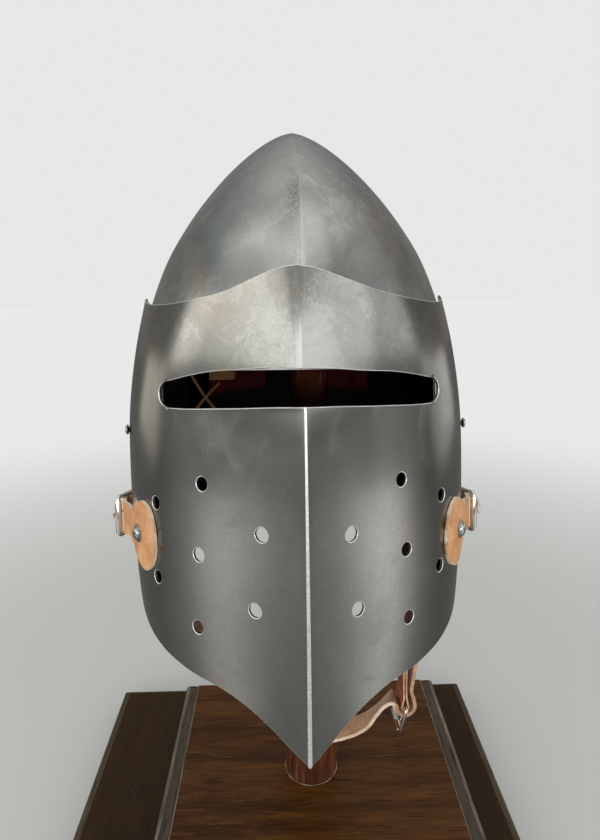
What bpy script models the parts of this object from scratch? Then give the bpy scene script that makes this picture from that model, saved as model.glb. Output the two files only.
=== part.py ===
"""Bascinet with a pointed visor, standing on a wooden post and base.

Lengths in the tables are millimetres. The helmet's own frame has its origin midway between the two
visor pivots, X to the right, Y to the back and Z to the crown. An empty leans it back on the post.
"""

import bmesh
import bpy
import numpy as np
from mathutils import Matrix, Vector

MM = 0.001

# Stand
BASE_WIDTH, BASE_DEPTH, BASE_HEIGHT, BASE_EDGE = 341.0, 278.0, 22.0, 8.0
PANEL_WIDTH, PANEL_DEPTH, PANEL_HEIGHT, PANEL_X = 245.5, 253.0, 12.0, 17.4
PANEL_EDGE, PANEL_BAND, PANEL_STEP, PANEL_HOLLOW = 3.4, 12.0, 1.0, 0.9
POST_X, POST_Y = 14.0, 26.5
POST_FOOT_RADIUS, POST_TOP_RADIUS, POST_SHOULDER, POST_LENGTH = 21.25, 12.75, 255.0, 474.0
GLUE_GAP = 0.3

# Helmet
PIVOT_PLACE = (4.7, 2.0, 336.5)
LEAN_BACK, TURN = 10.0, 1.0
PLATE = 1.8
PIVOT_HOLE, PIVOT_STANDOFF, STRAP_HOLE = 2.8, 1.2, 2.2
BREATH_RADIUS = 4.0
FACE_HALF_WIDTH, FACE_TOP, FACE_CORNER = 81.0, 37.3, 26.0
REAR_RIM_RISE = 0.55
FACE_CUT_FRONT, FACE_CUT_BACK, FACE_CUT_FOOT, FACE_CUT_INSET, CHEEK_BEND_Z = -150.0, -8.0, -150.0, 3.0, -40.0
NAPE_ANGLE, NAPE_FULLNESS = 7.0, 0.74

# Straps and buckles
LEATHER, CHAPE_LEATHER, FIT = 2.4, 1.5, 0.35
STRAP_WIDTH, CHIN_WIDTH = 20.0, 20.0
LINER, LACE_RADIUS = 2.0, 1.2
WIRE, ROLLER_RADIUS, ROLLER_LENGTH, BUCKLE_REACH, PRONG_WIRE = 1.35, 2.2, 22.0, 20.3, 0.95
SIDE_STRAP_Z = {1: -62.8, -1: -59.7}
SIDE_RIVET_X = 97.0
SIDE_ROLLER, SIDE_BUCKLE_TURN = (121.8, 6.0), 72.0
CHIN_HINGE, CHIN_ROLLER, CHIN_Y = (76.5, -210.0), (72.4, -229.9), -10.5
SIDE_ANCHOR_Y, CHIN_ANCHOR_Y, CHIN_ANCHOR_Z = 53.0, -4.0, -70.0

# height, ridge, half_width, rear_edge, ridge_angle, rear_angle, fullness, ridge_round
VISOR_SECTIONS = (
    (-170, 104, 90, -20, 31, 76, 1.6, 0.5),
    (-130, 108, 102, -10, 31, 76, 1.7, 0.5),
    (-80, 111, 109.5, 0, 31, 76, 1.8, 0.5),
    (-30, 112, 112.5, 6, 31, 76, 1.8, 0.5),
    (15, 112, 112.5, 12, 31, 76, 1.8, 0.8),
    (50, 111, 108.5, 16, 27, 77, 1.5, 2.2),
    (90, 108, 100, 18, 22, 77, 1.1, 4.5),
)
# across (fraction of the plate from ridge to rear edge), height
VISOR_TOP = (
    (0, 89), (0.08, 87.5), (0.17, 83.5), (0.27, 79), (0.4, 76.5), (0.55, 76), (0.7, 78), (0.85, 82), (1, 87),
)
VISOR_BOTTOM = (
    (0, -170), (0.04, -166.8), (0.1, -161.5), (0.2, -151.6), (0.27, -145.8), (0.34, -141.4), (0.41, -138.3),
    (0.48, -136.6), (0.55, -135), (0.62, -132.4), (0.69, -129.4), (0.76, -125.5), (0.84, -120.5),
    (0.91, -115.5), (0.96, -110.5), (0.99, -104), (1, -98),
)
# height, half_width, middle, front, back, keel_angle, fullness
SKULL_SECTIONS = (
    (199, 0, 33, 0, 0, 20, 0.9),
    (190, 15.5, 32, 26, 19, 20, 0.9),
    (176, 33, 30, 50, 39, 20, 0.9),
    (156, 52, 27, 73, 60, 20, 0.9),
    (130, 71, 23, 94, 79, 20, 0.9),
    (100, 87, 19, 110, 95, 20, 0.9),
    (60, 100, 16, 118, 108, 20, 0.8),
    (15, 104.5, 14, 118, 114, 20, 0.75),
    (-30, 104.5, 14, 116, 112, 20, 0.75),
    (-80, 104.5, 15, 111, 110, 20, 0.75),
    (-112, 108, 17, 110, 112, 20, 0.75),
)
# side_distance, lower_edge, upper_edge
SIGHT = ((0, 20.5, 39), (20, 20, 38.5), (35, 19.2, 37.2), (50, 18.6, 36.4), (65, 18, 34.4), (74, 18, 32.6))
SIGHT_TURN_X, SIGHT_END_X = 74.0, 80.5
SIGHT_CUT_FRONT, SIGHT_CUT_BACK = -140.0, -20.0
# side_distance, height
BREATHS = ((54.3, -22.5), (84, -37.5), (23, -46), (57.6, -62.5), (84, -81), (27, -87.5), (59.7, -104))
# along, half_width
SIDE_STRAP_OUTLINE = (
    (0, 9), (3, 16), (8, 20.5), (15, 21), (22, 18.5), (28, 14), (33, 10), (104, 10), (110, 7.5), (113, 3.5),
)
# helmet x, y of the side strap's middle past the plate's rear edge
SIDE_STRAP_TAIL = (
    (117.5, 6.0), (118.4, 12.0), (120.1, 18.5), (121.0, 25.0), (117.5, 36.0), (111.5, 48.0), (106.0, 58.0),
)
# helmet y of the side chape's layers over the skull, and their extra lift there
CHAPE_LIFTS = ((34.0, 3.5), (42.0, 1.6), (50.0, 0.6), (60.0, 0.6))
# head, shank and tail radii
RIVET, CHIN_RIVET = (4.0, 1.8, 3.2), (4.0, 1.8, 2.8)
STRAP_RIVET, PIVOT_RIVET = (4.6, 1.8, 3.2), (4.2, 2.4, 3.6)
SLOT_RADIUS, SLOT_REACH, SLOT_ALONG, SLOT_LIFT = 2.6, 2.2, 8.7, 1.5
CHAPE_SLOT = (14.0, 3.6, 14.0)
BUCKLE_CORNER, STRAP_LIES_BEFORE, STRAP_LIFTS_OVER = 2.2, -2.0, 8.0

# x, z of the chin strap's middle at its front edge and at its rear edge, from the left cheek to its tip
CHIN_ROUTE = (
    (-106.0, -53.0, -106.0, -53.0),
    (-106.0, -66.0, -106.0, -66.0),
    (-105.0, -80.0, -105.0, -80.0),
    (-95.0, -102.0, -95.0, -102.0),
    (-82.0, -124.0, -82.0, -124.0),
    (-67.0, -147.0, -67.0, -147.0),
    (-50.0, -174.0, -50.0, -174.0),
    (-33.0, -199.0, -33.0, -199.0),
    (-16.0, -218.5, -16.0, -218.5),
    (1.0, -231.5, 1.0, -231.5),
    (18.0, -237.0, 18.0, -237.5),
    (34.0, -234.5, 36.0, -236.5),
    (44.5, -230.0, 47.0, -233.0),
    (50.5, -224.0, 54.0, -229.0),
    (56.0, -215.0, 60.0, -224.0),
    (61.0, -208.7, 65.0, -218.0),
    (66.0, -206.2, 68.5, -213.5),
    (69.6, -208.5, 70.0, -211.5),
    (71.0, -214.0, 71.2, -214.5),
    (75.0, -217.0, 75.0, -217.0),
    (80.0, -216.2, 80.0, -216.2),
    (83.2, -211.5, 83.2, -211.5),
    (82.6, -204.0, 82.6, -204.0),
    (80.6, -197.5, 80.6, -197.5),
    (81.2, -187.0, 81.2, -187.0),
    (82.8, -172.0, 82.8, -172.0),
    (85.0, -156.0, 85.0, -156.0),
)
# x, z of the chin chape's middle, from the cheek to the buckle
CHIN_CHAPE_ROUTE = (
    (106.0, -54.0), (106.0, -66.0), (105.0, -80.0), (95.0, -102.0), (86.5, -121.0), (79.0, -143.0),
    (76.0, -162.0), (75.4, -180.0), (75.6, -194.0), (76.1, -202.5),
)
# x, z of the chin strap's spare holes; the height where it turns square to the helmet, and over how much
CHIN_HOLES, CHIN_HOLE_RADIUS = ((33.0, -235.0), (48.0, -227.5)), 1.6
CHIN_TURN_Z, CHIN_TURN_RUN, CHIN_ANCHOR_DROP = -150.0, 60.0, 0.7
# name, side, y from, y to, lowest z, highest z, depth inside the skull's wall
RED_PANELS = (
    ("liner_left", -1, 36, 70, -44, 52, 2.5),
    ("liner_back_left", -1, 89, 117.5, -44, 52, 2.5),
    ("liner_back_right", 1, 94, 116.5, -44, 52, 2.5),
    ("liner_neck_right", 1, 62, 98, -122, -56, 2.5),
)
LINER_FLAP = ("liner_flap", -1, 85, 101, 29.5, 56, 6.0)
# name, start y and z, end y and z, depth
LACES = (("liner_lace_1", (69, 34), (91, 6), 8.5), ("liner_lace_2", (91, 27), (69, 7), 12.0))


def clear_scene():
    for old in list(bpy.data.objects):
        bpy.data.objects.remove(old, do_unlink=True)


def make_material(name, colour, roughness, metallic):
    material = bpy.data.materials.new(name)
    material.use_nodes = True
    shader = material.node_tree.nodes["Principled BSDF"]
    shader.inputs["Base Color"].default_value = (*colour, 1.0)
    shader.inputs["Roughness"].default_value = roughness
    shader.inputs["Metallic"].default_value = metallic
    return material


def smooth_table(at, table, column):
    """A smooth curve through one column of a table, read at its first column."""
    x = np.array([row[0] for row in table], float)
    y = np.array([row[column] for row in table], float)
    order = np.argsort(x)
    x, y = x[order], y[order]
    slope = np.gradient(y, x)
    at = np.clip(np.asarray(at, float), x[0], x[-1])
    left = np.clip(np.searchsorted(x, at) - 1, 0, len(x) - 2)
    step = x[left + 1] - x[left]
    t = (at - x[left]) / step
    ends = (2 * t**3 - 3 * t**2 + 1) * y[left] + (3 * t**2 - 2 * t**3) * y[left + 1]
    slopes = (t**3 - 2 * t**2 + t) * slope[left] + (t**3 - t**2) * slope[left + 1]
    return ends + step * slopes


def smooth_route(table, spacing):
    """Points evenly spaced along the smooth curve through a table's rows."""
    rows = np.asarray(table, float)
    steps = np.linalg.norm(np.diff(rows, axis=0), axis=1)
    along = np.concatenate([[0], np.cumsum(steps)])
    keyed = [(a, *row) for a, row in zip(along, rows)]
    at = np.linspace(0, along[-1], max(3, int(round(along[-1] / spacing)) + 1))
    return np.stack([smooth_table(at, keyed, column + 1) for column in range(rows.shape[1])], axis=-1)


def full_arc(t, start, corner, end, fullness):
    """A conic arc from start to end, drawn towards the corner by its fullness."""
    a, b, c = (1 - t) ** 2, 2 * fullness * t * (1 - t), t * t
    total = a + b + c
    x = (a * start[0] + b * corner[0] + c * end[0]) / total
    y = (a * start[1] + b * corner[1] + c * end[1]) / total
    return x, y


def visor_section(z, t):
    """Plan curve of the visor's right half at a height: t runs from the ridge to the rear edge."""
    ridge, width, rear, nose, tail, fullness, soft = (
        smooth_table(z, VISOR_SECTIONS, column) for column in range(1, 8)
    )
    nose, tail = np.radians(nose), np.radians(tail)
    spread = np.cos(nose) * np.sin(tail) - np.sin(nose) * np.cos(tail)
    reach = (width * np.sin(tail) - (rear + ridge) * np.cos(tail)) / spread
    corner = (reach * np.cos(nose), -ridge + reach * np.sin(nose))
    x, y = full_arc(t, (0.0 * ridge, -ridge), corner, (width, rear), fullness)
    return x, y + np.tan(nose) * (np.sqrt(x * x + soft * soft) - x)


def visor_polyline(z, count=200):
    return np.stack(visor_section(np.full(count, float(z)), np.linspace(0, 1, count)), axis=-1)


def visor_point(across, z):
    """A point of the visor's outer face, by its fraction of the plate's width and its height."""
    line = visor_polyline(z)
    run = np.concatenate([[0], np.cumsum(np.linalg.norm(np.diff(line, axis=0), axis=1))])
    x, y = (np.interp(across * run[-1], run, line[:, column]) for column in (0, 1))
    return np.array([x, y, z])


def visor_at_x(x, z):
    """The visor's outer face straight ahead of (x, z), and the outward direction there."""
    line = visor_polyline(z)
    y = np.interp(x, line[:, 0], line[:, 1])
    ahead = np.interp(x + 1, line[:, 0], line[:, 1]) - np.interp(x - 1, line[:, 0], line[:, 1])
    outward = np.array([ahead, -2.0, 0.0])
    return np.array([x, y, z]), outward / np.linalg.norm(outward)


def skull_section(row, turn):
    """Points of the skull's right half: turn is 0 at the front, 1 at the side and 2 at the back."""
    rows = [(index, *values) for index, values in enumerate(SKULL_SECTIONS)]
    z, half, middle, front, back, keel, fullness = (smooth_table(row, rows, column) for column in range(1, 8))
    turn = np.asarray(turn, float)
    brow = (half, middle - front + half * np.tan(np.radians(keel)))
    nape = (half, middle + back - half * np.tan(np.radians(NAPE_ANGLE)))
    side = (half, middle)
    front_x, front_y = full_arc(np.clip(turn, 0, 1), (0, middle - front), brow, side, fullness)
    back_x, back_y = full_arc(np.clip(2 - turn, 0, 1), (0, middle + back), nape, side, NAPE_FULLNESS)
    x, y = np.where(turn <= 1, front_x, back_x), np.where(turn <= 1, front_y, back_y)
    return np.stack([x, y, z + 0 * turn], axis=-1)


def skull_at_y(y, z):
    """The x of the skull's outer face at one side, at a given y and height."""
    heights = [(values[0], index) for index, values in enumerate(SKULL_SECTIONS)]
    line = skull_section(smooth_table(z, heights, 1), np.linspace(0.3, 1.9, 160))
    return float(np.interp(y, line[:, 1], line[:, 0]))


def inside_cheek(x, y, z, depth):
    """The x of a point in the upright frame, held inside the skull's wall by a depth."""
    lean = np.radians(LEAN_BACK)
    wall = skull_at_y(y * np.cos(lean) - z * np.sin(lean), y * np.sin(lean) + z * np.cos(lean))
    return np.sign(x) * min(abs(x), wall - PLATE - depth)


def grid_object(name, points, material, parent=None, weld=False):
    """A mesh of quads through a grid of points given in millimetres."""
    rows, columns = points.shape[:2]
    quads = []
    for i in range(rows - 1):
        for j in range(columns - 1):
            a = i * columns + j
            quads.append((a, a + 1, a + columns + 1, a + columns))
    mesh = bpy.data.meshes.new(name)
    mesh.from_pydata((points.reshape(-1, 3) * MM).tolist(), [], quads)
    if weld:
        work = bmesh.new()
        work.from_mesh(mesh)
        bmesh.ops.remove_doubles(work, verts=work.verts, dist=1e-6)
        work.to_mesh(mesh)
        work.free()
    return link_object(name, mesh, material, parent)


def link_object(name, data, material, parent=None):
    made = bpy.data.objects.new(name, data)
    PARTS.objects.link(made)
    made.parent = parent
    if material is not None:
        data.materials.append(material)
    return made


def add_wall(made, thickness, offset):
    wall = made.modifiers.new("Wall", "SOLIDIFY")
    wall.thickness = thickness * MM
    wall.offset = offset
    wall.use_even_offset = True


def add_mirror(made):
    mirror = made.modifiers.new("Both sides", "MIRROR")
    mirror.merge_threshold = 1e-5


def hide_cutter(made):
    PARTS.objects.unlink(made)
    CUTTERS.objects.link(made)
    made.hide_render = True
    made.display_type = "WIRE"


def add_cut(made, cutter):
    cut = made.modifiers.new("Cut", "BOOLEAN")
    cut.operation = "DIFFERENCE"
    cut.solver = "EXACT"
    cut.object = cutter


def holes_cutter(name, holes, parent, sides=12):
    """One cutter of round bars, each given by its middle, direction, radius and length."""
    work = bmesh.new()
    for middle, direction, radius, length in holes:
        turn = Vector((0, 0, 1)).rotation_difference(Vector(direction)).to_matrix().to_4x4()
        bmesh.ops.create_cone(
            work, cap_ends=True, segments=sides, radius1=radius * MM, radius2=radius * MM,
            depth=length * MM, matrix=Matrix.Translation(Vector(middle) * MM) @ turn,
        )
    mesh = bpy.data.meshes.new(name)
    work.to_mesh(mesh)
    work.free()
    cutter = link_object(name, mesh, None, parent)
    hide_cutter(cutter)
    return cutter


def outline_cutter(name, outline, near, far, parent):
    """A cutter with an (x, z) outline that runs along Y from near to far."""
    loop = np.asarray(outline, float)
    count = len(loop)
    points = np.concatenate([np.insert(loop, 1, near, axis=1), np.insert(loop, 1, far, axis=1)]) * MM
    sides = [(i, (i + 1) % count, count + (i + 1) % count, count + i) for i in range(count)]
    caps = [tuple(range(count)), tuple(range(2 * count - 1, count - 1, -1))]
    mesh = bpy.data.meshes.new(name)
    mesh.from_pydata(points.tolist(), [], sides + caps)
    work = bmesh.new()
    work.from_mesh(mesh)
    bmesh.ops.recalc_face_normals(work, faces=work.faces)
    work.to_mesh(mesh)
    work.free()
    cutter = link_object(name, mesh, None, parent)
    hide_cutter(cutter)
    return cutter


def turned_object(name, profile, material, parent=None, steps=20):
    """A turned piece: a profile of (radius, height) pairs spun round its own Z by a Screw."""
    mesh = bpy.data.meshes.new(name)
    points = [(radius * MM, 0, height * MM) for radius, height in profile]
    closed = profile[0][0] > 0
    edges = [(i, i + 1) for i in range(len(points) - 1)] + ([(len(points) - 1, 0)] if closed else [])
    mesh.from_pydata(points, edges, [])
    made = link_object(name, mesh, material, parent)
    screw = made.modifiers.new("Turn", "SCREW")
    screw.steps = screw.render_steps = steps
    screw.merge_threshold = 1e-6
    screw.use_merge_vertices = True
    screw.use_normal_calculate = True
    screw.use_normal_flip = closed
    return made


def wire_object(name, points, radius, material, parent=None, closed=False):
    """A bent wire: a curve with a round bevel through points in millimetres."""
    data = bpy.data.curves.new(name, "CURVE")
    data.dimensions = "3D"
    data.bevel_depth = radius * MM
    data.bevel_resolution = 1
    data.use_fill_caps = not closed
    line = data.splines.new("POLY")
    line.points.add(len(points) - 1)
    for point, place in zip(line.points, points):
        point.co = (*(np.asarray(place) * MM), 1)
    line.use_cyclic_u = closed
    return link_object(name, data, material, parent)


def arc_points(centre, radius, start, end, count):
    """Points on an arc in a plane, with angles in degrees."""
    angles = np.radians(np.linspace(start, end, count))
    return [(centre[0] + radius * np.cos(a), centre[1] + radius * np.sin(a)) for a in angles]


def place_along(made, place, direction):
    """Put a turned piece at a point with its Z along a direction."""
    made.location = Vector(place) * MM
    made.rotation_mode = "QUATERNION"
    made.rotation_quaternion = Vector((0, 0, 1)).rotation_difference(Vector(direction))


def rivet_object(name, place, outward, radii, grip, parent):
    """A domed rivet with its head on the outside and a peened tail at the end of its grip."""
    head, shank, tail = radii
    dome = [(head * np.sin(a), head * 0.55 * np.cos(a)) for a in np.linspace(0, np.pi / 2, 5)]
    profile = dome + [(shank, 0), (shank, -grip), (tail, -grip), (tail * 0.75, -grip - 0.9), (0, -grip - 1.1)]
    rivet = turned_object(name, profile, STEEL_BRIGHT, parent, steps=16)
    place_along(rivet, place, outward)
    return rivet


# --- Stand -----------------------------------------------------------------------------------------

def build_base():
    work = bmesh.new()
    size = Matrix.Diagonal((BASE_WIDTH * MM, BASE_DEPTH * MM, BASE_HEIGHT * MM, 1))
    bmesh.ops.create_cube(work, size=1, matrix=size)
    mesh = bpy.data.meshes.new("stand_base")
    work.to_mesh(mesh)
    work.free()
    base = link_object("stand_base", mesh, WOOD_DARK)
    base.location.z = BASE_HEIGHT / 2 * MM
    edge = base.modifiers.new("Edge", "BEVEL")
    edge.width = BASE_EDGE * MM
    edge.segments = 3


def build_panel():
    """The raised panel: its moulded profile runs from the front edge to the back edge."""
    half, band = PANEL_WIDTH / 2, PANEL_HEIGHT - PANEL_STEP
    hollow_from, hollow_to = half - PANEL_EDGE, half - PANEL_BAND + 0.8
    right = [(half, 0), *arc_points((half - PANEL_EDGE, band - PANEL_EDGE), PANEL_EDGE, 0, 90, 4)]
    for share in np.linspace(0, 1, 7)[1:]:
        hollow = PANEL_HOLLOW * np.sin(np.pi * share)
        right.append((hollow_from + (hollow_to - hollow_from) * share, band - hollow))
    right += [(half - PANEL_BAND + 0.1, PANEL_HEIGHT - 0.1), (half - PANEL_BAND - 0.4, PANEL_HEIGHT)]
    outline = right + [(-x, z) for x, z in reversed(right)]
    data = bpy.data.curves.new("stand_panel", "CURVE")
    data.dimensions = "2D"
    data.fill_mode = "BOTH"
    data.extrude = PANEL_DEPTH / 2 * MM
    line = data.splines.new("POLY")
    line.points.add(len(outline) - 1)
    for point, (x, z) in zip(line.points, outline):
        point.co = (x * MM, z * MM, 0, 1)
    line.use_cyclic_u = True
    panel = link_object("stand_panel", data, WOOD_WARM)
    panel.location = (PANEL_X * MM, 0, (BASE_HEIGHT + GLUE_GAP) * MM)
    panel.rotation_euler.x = np.pi / 2


def build_post():
    foot = BASE_HEIGHT + PANEL_HEIGHT + 2 * GLUE_GAP
    length = POST_LENGTH - 2 * GLUE_GAP
    shoulder = arc_points((POST_FOOT_RADIUS - 8, POST_SHOULDER), 8, 0, 90, 5)
    top = arc_points((POST_TOP_RADIUS - 6, length - 6), 6, 0, 90, 4)
    profile = [(0, 0), (POST_FOOT_RADIUS, 0), *shoulder]
    profile += [(POST_TOP_RADIUS, POST_SHOULDER + 9), *top, (0, length)]
    post = turned_object("stand_post", profile, WOOD_RED, steps=32)
    post.location = (POST_X * MM, POST_Y * MM, foot * MM)


# --- Helmet plates ---------------------------------------------------------------------------------

def build_skull(helmet):
    rows = np.concatenate([np.linspace(0, 2, 4), np.linspace(2, len(SKULL_SECTIONS) - 1, 13)[1:]])
    turns = np.linspace(0, 2, 23)
    points = np.empty((len(rows), len(turns), 3))
    for i, row in enumerate(rows):
        for j, turn in enumerate(turns):
            rise = REAR_RIM_RISE * np.clip(turn - 0.9, 0, 1) * (row == rows[-1])
            points[i, j] = skull_section(row - rise, turn)
    points[:, [0, -1], 0] = 0
    skull = grid_object("skull", points[::-1], STEEL_BRIGHT, helmet, weld=True)
    add_mirror(skull)
    add_wall(skull, PLATE, -1)
    corner = arc_points((FACE_HALF_WIDTH - FACE_CORNER, FACE_TOP - FACE_CORNER), FACE_CORNER, 0, 90, 7)
    right = [(FACE_HALF_WIDTH - FACE_CUT_INSET, FACE_CUT_FOOT), (FACE_HALF_WIDTH, CHEEK_BEND_Z), *corner]
    outline = right + [(-x, z) for x, z in reversed(right)]
    add_cut(skull, outline_cutter("face_cutter", outline, FACE_CUT_FRONT, FACE_CUT_BACK, helmet))
    holes = []
    for side in (1, -1):
        holes.append(((side * 104, 0, 0), (1, 0, 0), PIVOT_HOLE, 30))
        holes += [(*chin_anchor(side), STRAP_HOLE, 16), (*side_anchor(side), STRAP_HOLE, 16)]
    add_cut(skull, holes_cutter("skull_holes", holes, helmet))


def sight_outline():
    """The sight's (x, z) outline: two lines down each side of the keel and half-round ends."""
    sides = np.array([0, 10, 20, 30, 40, 50, 60, 68, SIGHT_TURN_X])
    lower = [(x, float(smooth_table(x, SIGHT, 1))) for x in sides]
    upper = [(x, float(smooth_table(x, SIGHT, 2))) for x in sides]
    middle = (lower[-1][1] + upper[-1][1]) / 2
    reach, rise = SIGHT_END_X - SIGHT_TURN_X, (upper[-1][1] - lower[-1][1]) / 2
    angles = np.radians((-55, -25, 0, 25, 55))
    end = [(SIGHT_TURN_X + reach * np.cos(a), middle + rise * np.sin(a)) for a in angles]
    right = lower + end + upper[::-1]
    return right + [(-x, z) for x, z in right[::-1] if x > 0]


def build_visor(helmet):
    across = np.linspace(0, 1, 14)
    low = smooth_table(across, VISOR_BOTTOM, 1)
    high = smooth_table(across, VISOR_TOP, 1)
    levels = np.linspace(0, 1, 13)
    heights = low + (high - low) * levels[:, None]
    points = np.array([[visor_point(a, z) for a, z in zip(across, row)] for row in heights])
    points[:, 0, 0] = 0
    visor = grid_object("visor", points, STEEL_DARK, helmet)
    add_mirror(visor)
    add_wall(visor, PLATE, -1)
    add_cut(visor, outline_cutter("sight_cutter", sight_outline(), SIGHT_CUT_FRONT, SIGHT_CUT_BACK, helmet))
    holes = []
    for side in (1, -1):
        mirror = np.array([side, 1, 1])
        for x, z in BREATHS:
            place, outward = visor_at_x(x, z)
            holes.append((place * mirror, outward * mirror, BREATH_RADIUS, 14))
        holes.append(((side * 110, 0, 0), (1, 0, 0), PIVOT_HOLE, 12))
        place, outward = side_strap_rivet(side)
        holes.append((place, outward, STRAP_HOLE, 16))
    add_cut(visor, holes_cutter("visor_holes", holes, helmet))


def build_pivots(helmet):
    for side, label in ((1, "right"), (-1, "left")):
        outer = visor_polyline(0)
        x = float(np.interp(0, outer[:, 1], outer[:, 0]))
        inner = skull_at_y(0, 0) - PLATE
        head_x = x + PIVOT_STANDOFF
        grip = head_x - inner + PIVOT_STANDOFF
        rivet_object(f"pivot_rivet_{label}", (side * head_x, 0, 0), (side, 0, 0), PIVOT_RIVET, grip, helmet)


# --- Side straps -----------------------------------------------------------------------------------

def face_x_at_y(y, z):
    line = visor_polyline(z)
    return float(np.interp(y, line[:, 1], line[:, 0]))


def strap_on_visor(y, z):
    """The middle of the side strap's leather where it lies on the visor plate."""
    x = face_x_at_y(y, z)
    slope = (face_x_at_y(y + 1, z) - face_x_at_y(y - 1, z)) / 2
    lift = FIT + LEATHER / 2
    return x + lift * np.hypot(1, slope)


def side_strap_middle(height):
    """Route of the side strap's middle: over the plate, under the roller and over the hinge bar."""
    on_plate = [(strap_on_visor(y, height), y) for y in (-52, -44, -36, -28, -20, -12, -5)]
    return smooth_route(on_plate + list(SIDE_STRAP_TAIL), 4.0)


def build_side_strap(side, label, helmet):
    height = SIDE_STRAP_Z[side]
    middle = side_strap_middle(height)
    run = np.concatenate([[0], np.cumsum(np.linalg.norm(np.diff(middle, axis=0), axis=1))])
    ends = SIDE_STRAP_OUTLINE[-1][0]
    shares = np.linspace(-1, 1, 5)
    points = np.empty((len(run), len(shares), 3))
    for i, ((x, y), along) in enumerate(zip(middle, run * ends / run[-1])):
        half = float(np.interp(along, *zip(*SIDE_STRAP_OUTLINE)))
        on_plate = np.clip((STRAP_LIES_BEFORE - y) / STRAP_LIFTS_OVER, 0, 1)
        flat_y = min(y, STRAP_LIES_BEFORE)
        for j, share in enumerate(shares):
            z = height + share * half
            shift = strap_on_visor(flat_y, z) - strap_on_visor(flat_y, height)
            points[i, j] = (side * (x + on_plate * shift), y, z)
    strap = grid_object(f"side_strap_{label}", points[:, ::side], LEATHER_TAN, helmet)
    add_wall(strap, LEATHER, 0)
    place, outward = side_strap_rivet(side)
    slot, across_strap = side_prong_slot(side)
    add_cut(strap, holes_cutter(f"side_strap_{label}_holes", [(place, outward, STRAP_HOLE, 14)], helmet))
    for shift in slot_shifts(across_strap):
        hole = (slot + shift, across_strap, SLOT_RADIUS, 16)
        add_cut(strap, holes_cutter(f"side_strap_{label}_slot", [hole], helmet))


def slot_shifts(direction):
    """Two centres for a prong slot, spread along the strap at right angles to its thickness."""
    along = np.array([-direction[1], direction[0], 0.0])
    return [along * reach for reach in (-SLOT_REACH, SLOT_REACH)]


def side_strap_rivet(side):
    """Where the side strap's rivet passes through the visor plate, and its outward direction."""
    place, outward = visor_at_x(SIDE_RIVET_X, SIDE_STRAP_Z[side])
    mirror = np.array([side, 1, 1])
    return place * mirror, outward * mirror


def side_buckle_frame(side):
    """Hinge bar place and the directions of the side buckle: towards its roller, along its bars, outwards."""
    turn = np.radians(SIDE_BUCKLE_TURN)
    to_roller = np.array([np.cos(turn), -np.sin(turn), 0])
    roller = np.array([*SIDE_ROLLER, SIDE_STRAP_Z[side]])
    hinge = roller - to_roller * BUCKLE_REACH
    outward = np.array([np.sin(turn), np.cos(turn), 0])
    mirror = np.array([side, 1, 1])
    return hinge * mirror, to_roller * mirror, np.array([0, 0, 1.0]), outward * mirror


def side_prong_slot(side):
    hinge, to_roller, bars, outward = side_buckle_frame(side)
    return hinge + to_roller * SLOT_ALONG + outward * SLOT_LIFT, outward


def skull_anchor(side, y, z):
    """Where a strap's rivet passes through the skull, and its outward direction."""
    slope = (skull_at_y(y + 2, z) - skull_at_y(y - 2, z)) / 4
    outward = np.array([1.0, -slope, 0.0]) / np.hypot(1, slope)
    mirror = np.array([side, 1, 1])
    return np.array([skull_at_y(y, z), y, z]) * mirror, outward * mirror


def side_anchor(side):
    return skull_anchor(side, SIDE_ANCHOR_Y, SIDE_STRAP_Z[side])


def chin_anchor(side):
    return skull_anchor(side, CHIN_ANCHOR_Y, CHIN_ANCHOR_Z)


def fold_points(hinge, towards, radius, count=9):
    """Half circle round a hinge bar in a plane, open away from the roller."""
    lead = np.degrees(np.arctan2(towards[1], towards[0]))
    return arc_points(hinge, radius, lead - 90, lead + 90, count)


def build_side_chape(side, label, helmet):
    """A leather strip folded round the hinge bar, both its layers riveted to the skull."""
    hinge, to_roller, bars, outward = side_buckle_frame(1)
    layer = CHAPE_LEATHER + FIT
    radius = WIRE + FIT + CHAPE_LEATHER / 2
    backs, lifts = np.array(CHAPE_LIFTS).T
    height = SIDE_STRAP_Z[side]
    skin = np.array([skull_at_y(y, height - STRAP_WIDTH / 2) for y in backs])
    skin += FIT + CHAPE_LEATHER / 2 + lifts
    inner = [(x, y) for x, y in zip(skin, backs)]
    outer = [(x + layer * 1.08, y + layer * 0.25) for x, y in zip(skin, backs)]
    fold = fold_points(hinge[:2], to_roller[:2], radius)
    if fold[0][0] > fold[-1][0]:
        fold = fold[::-1]
    route = inner[::-1] + fold + outer
    half = STRAP_WIDTH / 2
    points = np.array([[(side * x, y, height - half), (side * x, y, height + half)] for x, y in route])
    chape = grid_object(f"side_chape_{label}", points[:, ::side], LEATHER_TAN, helmet)
    add_wall(chape, CHAPE_LEATHER, 0)
    place, through = side_anchor(side)
    add_cut(chape, holes_cutter(f"side_chape_{label}_hole", [(place, through, STRAP_HOLE, 20)], helmet))
    hinge, to_roller, bars, outward = side_buckle_frame(side)
    slot = slot_cutter(f"side_chape_{label}_slot", hinge, to_roller, bars, helmet)
    add_cut(chape, slot)
    grip = PLATE + 2 * layer + 5 * FIT
    head = place + through * (2 * layer + 4 * FIT)
    rivet_object(f"side_chape_rivet_{label}", head, through, RIVET, grip, helmet)


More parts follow.
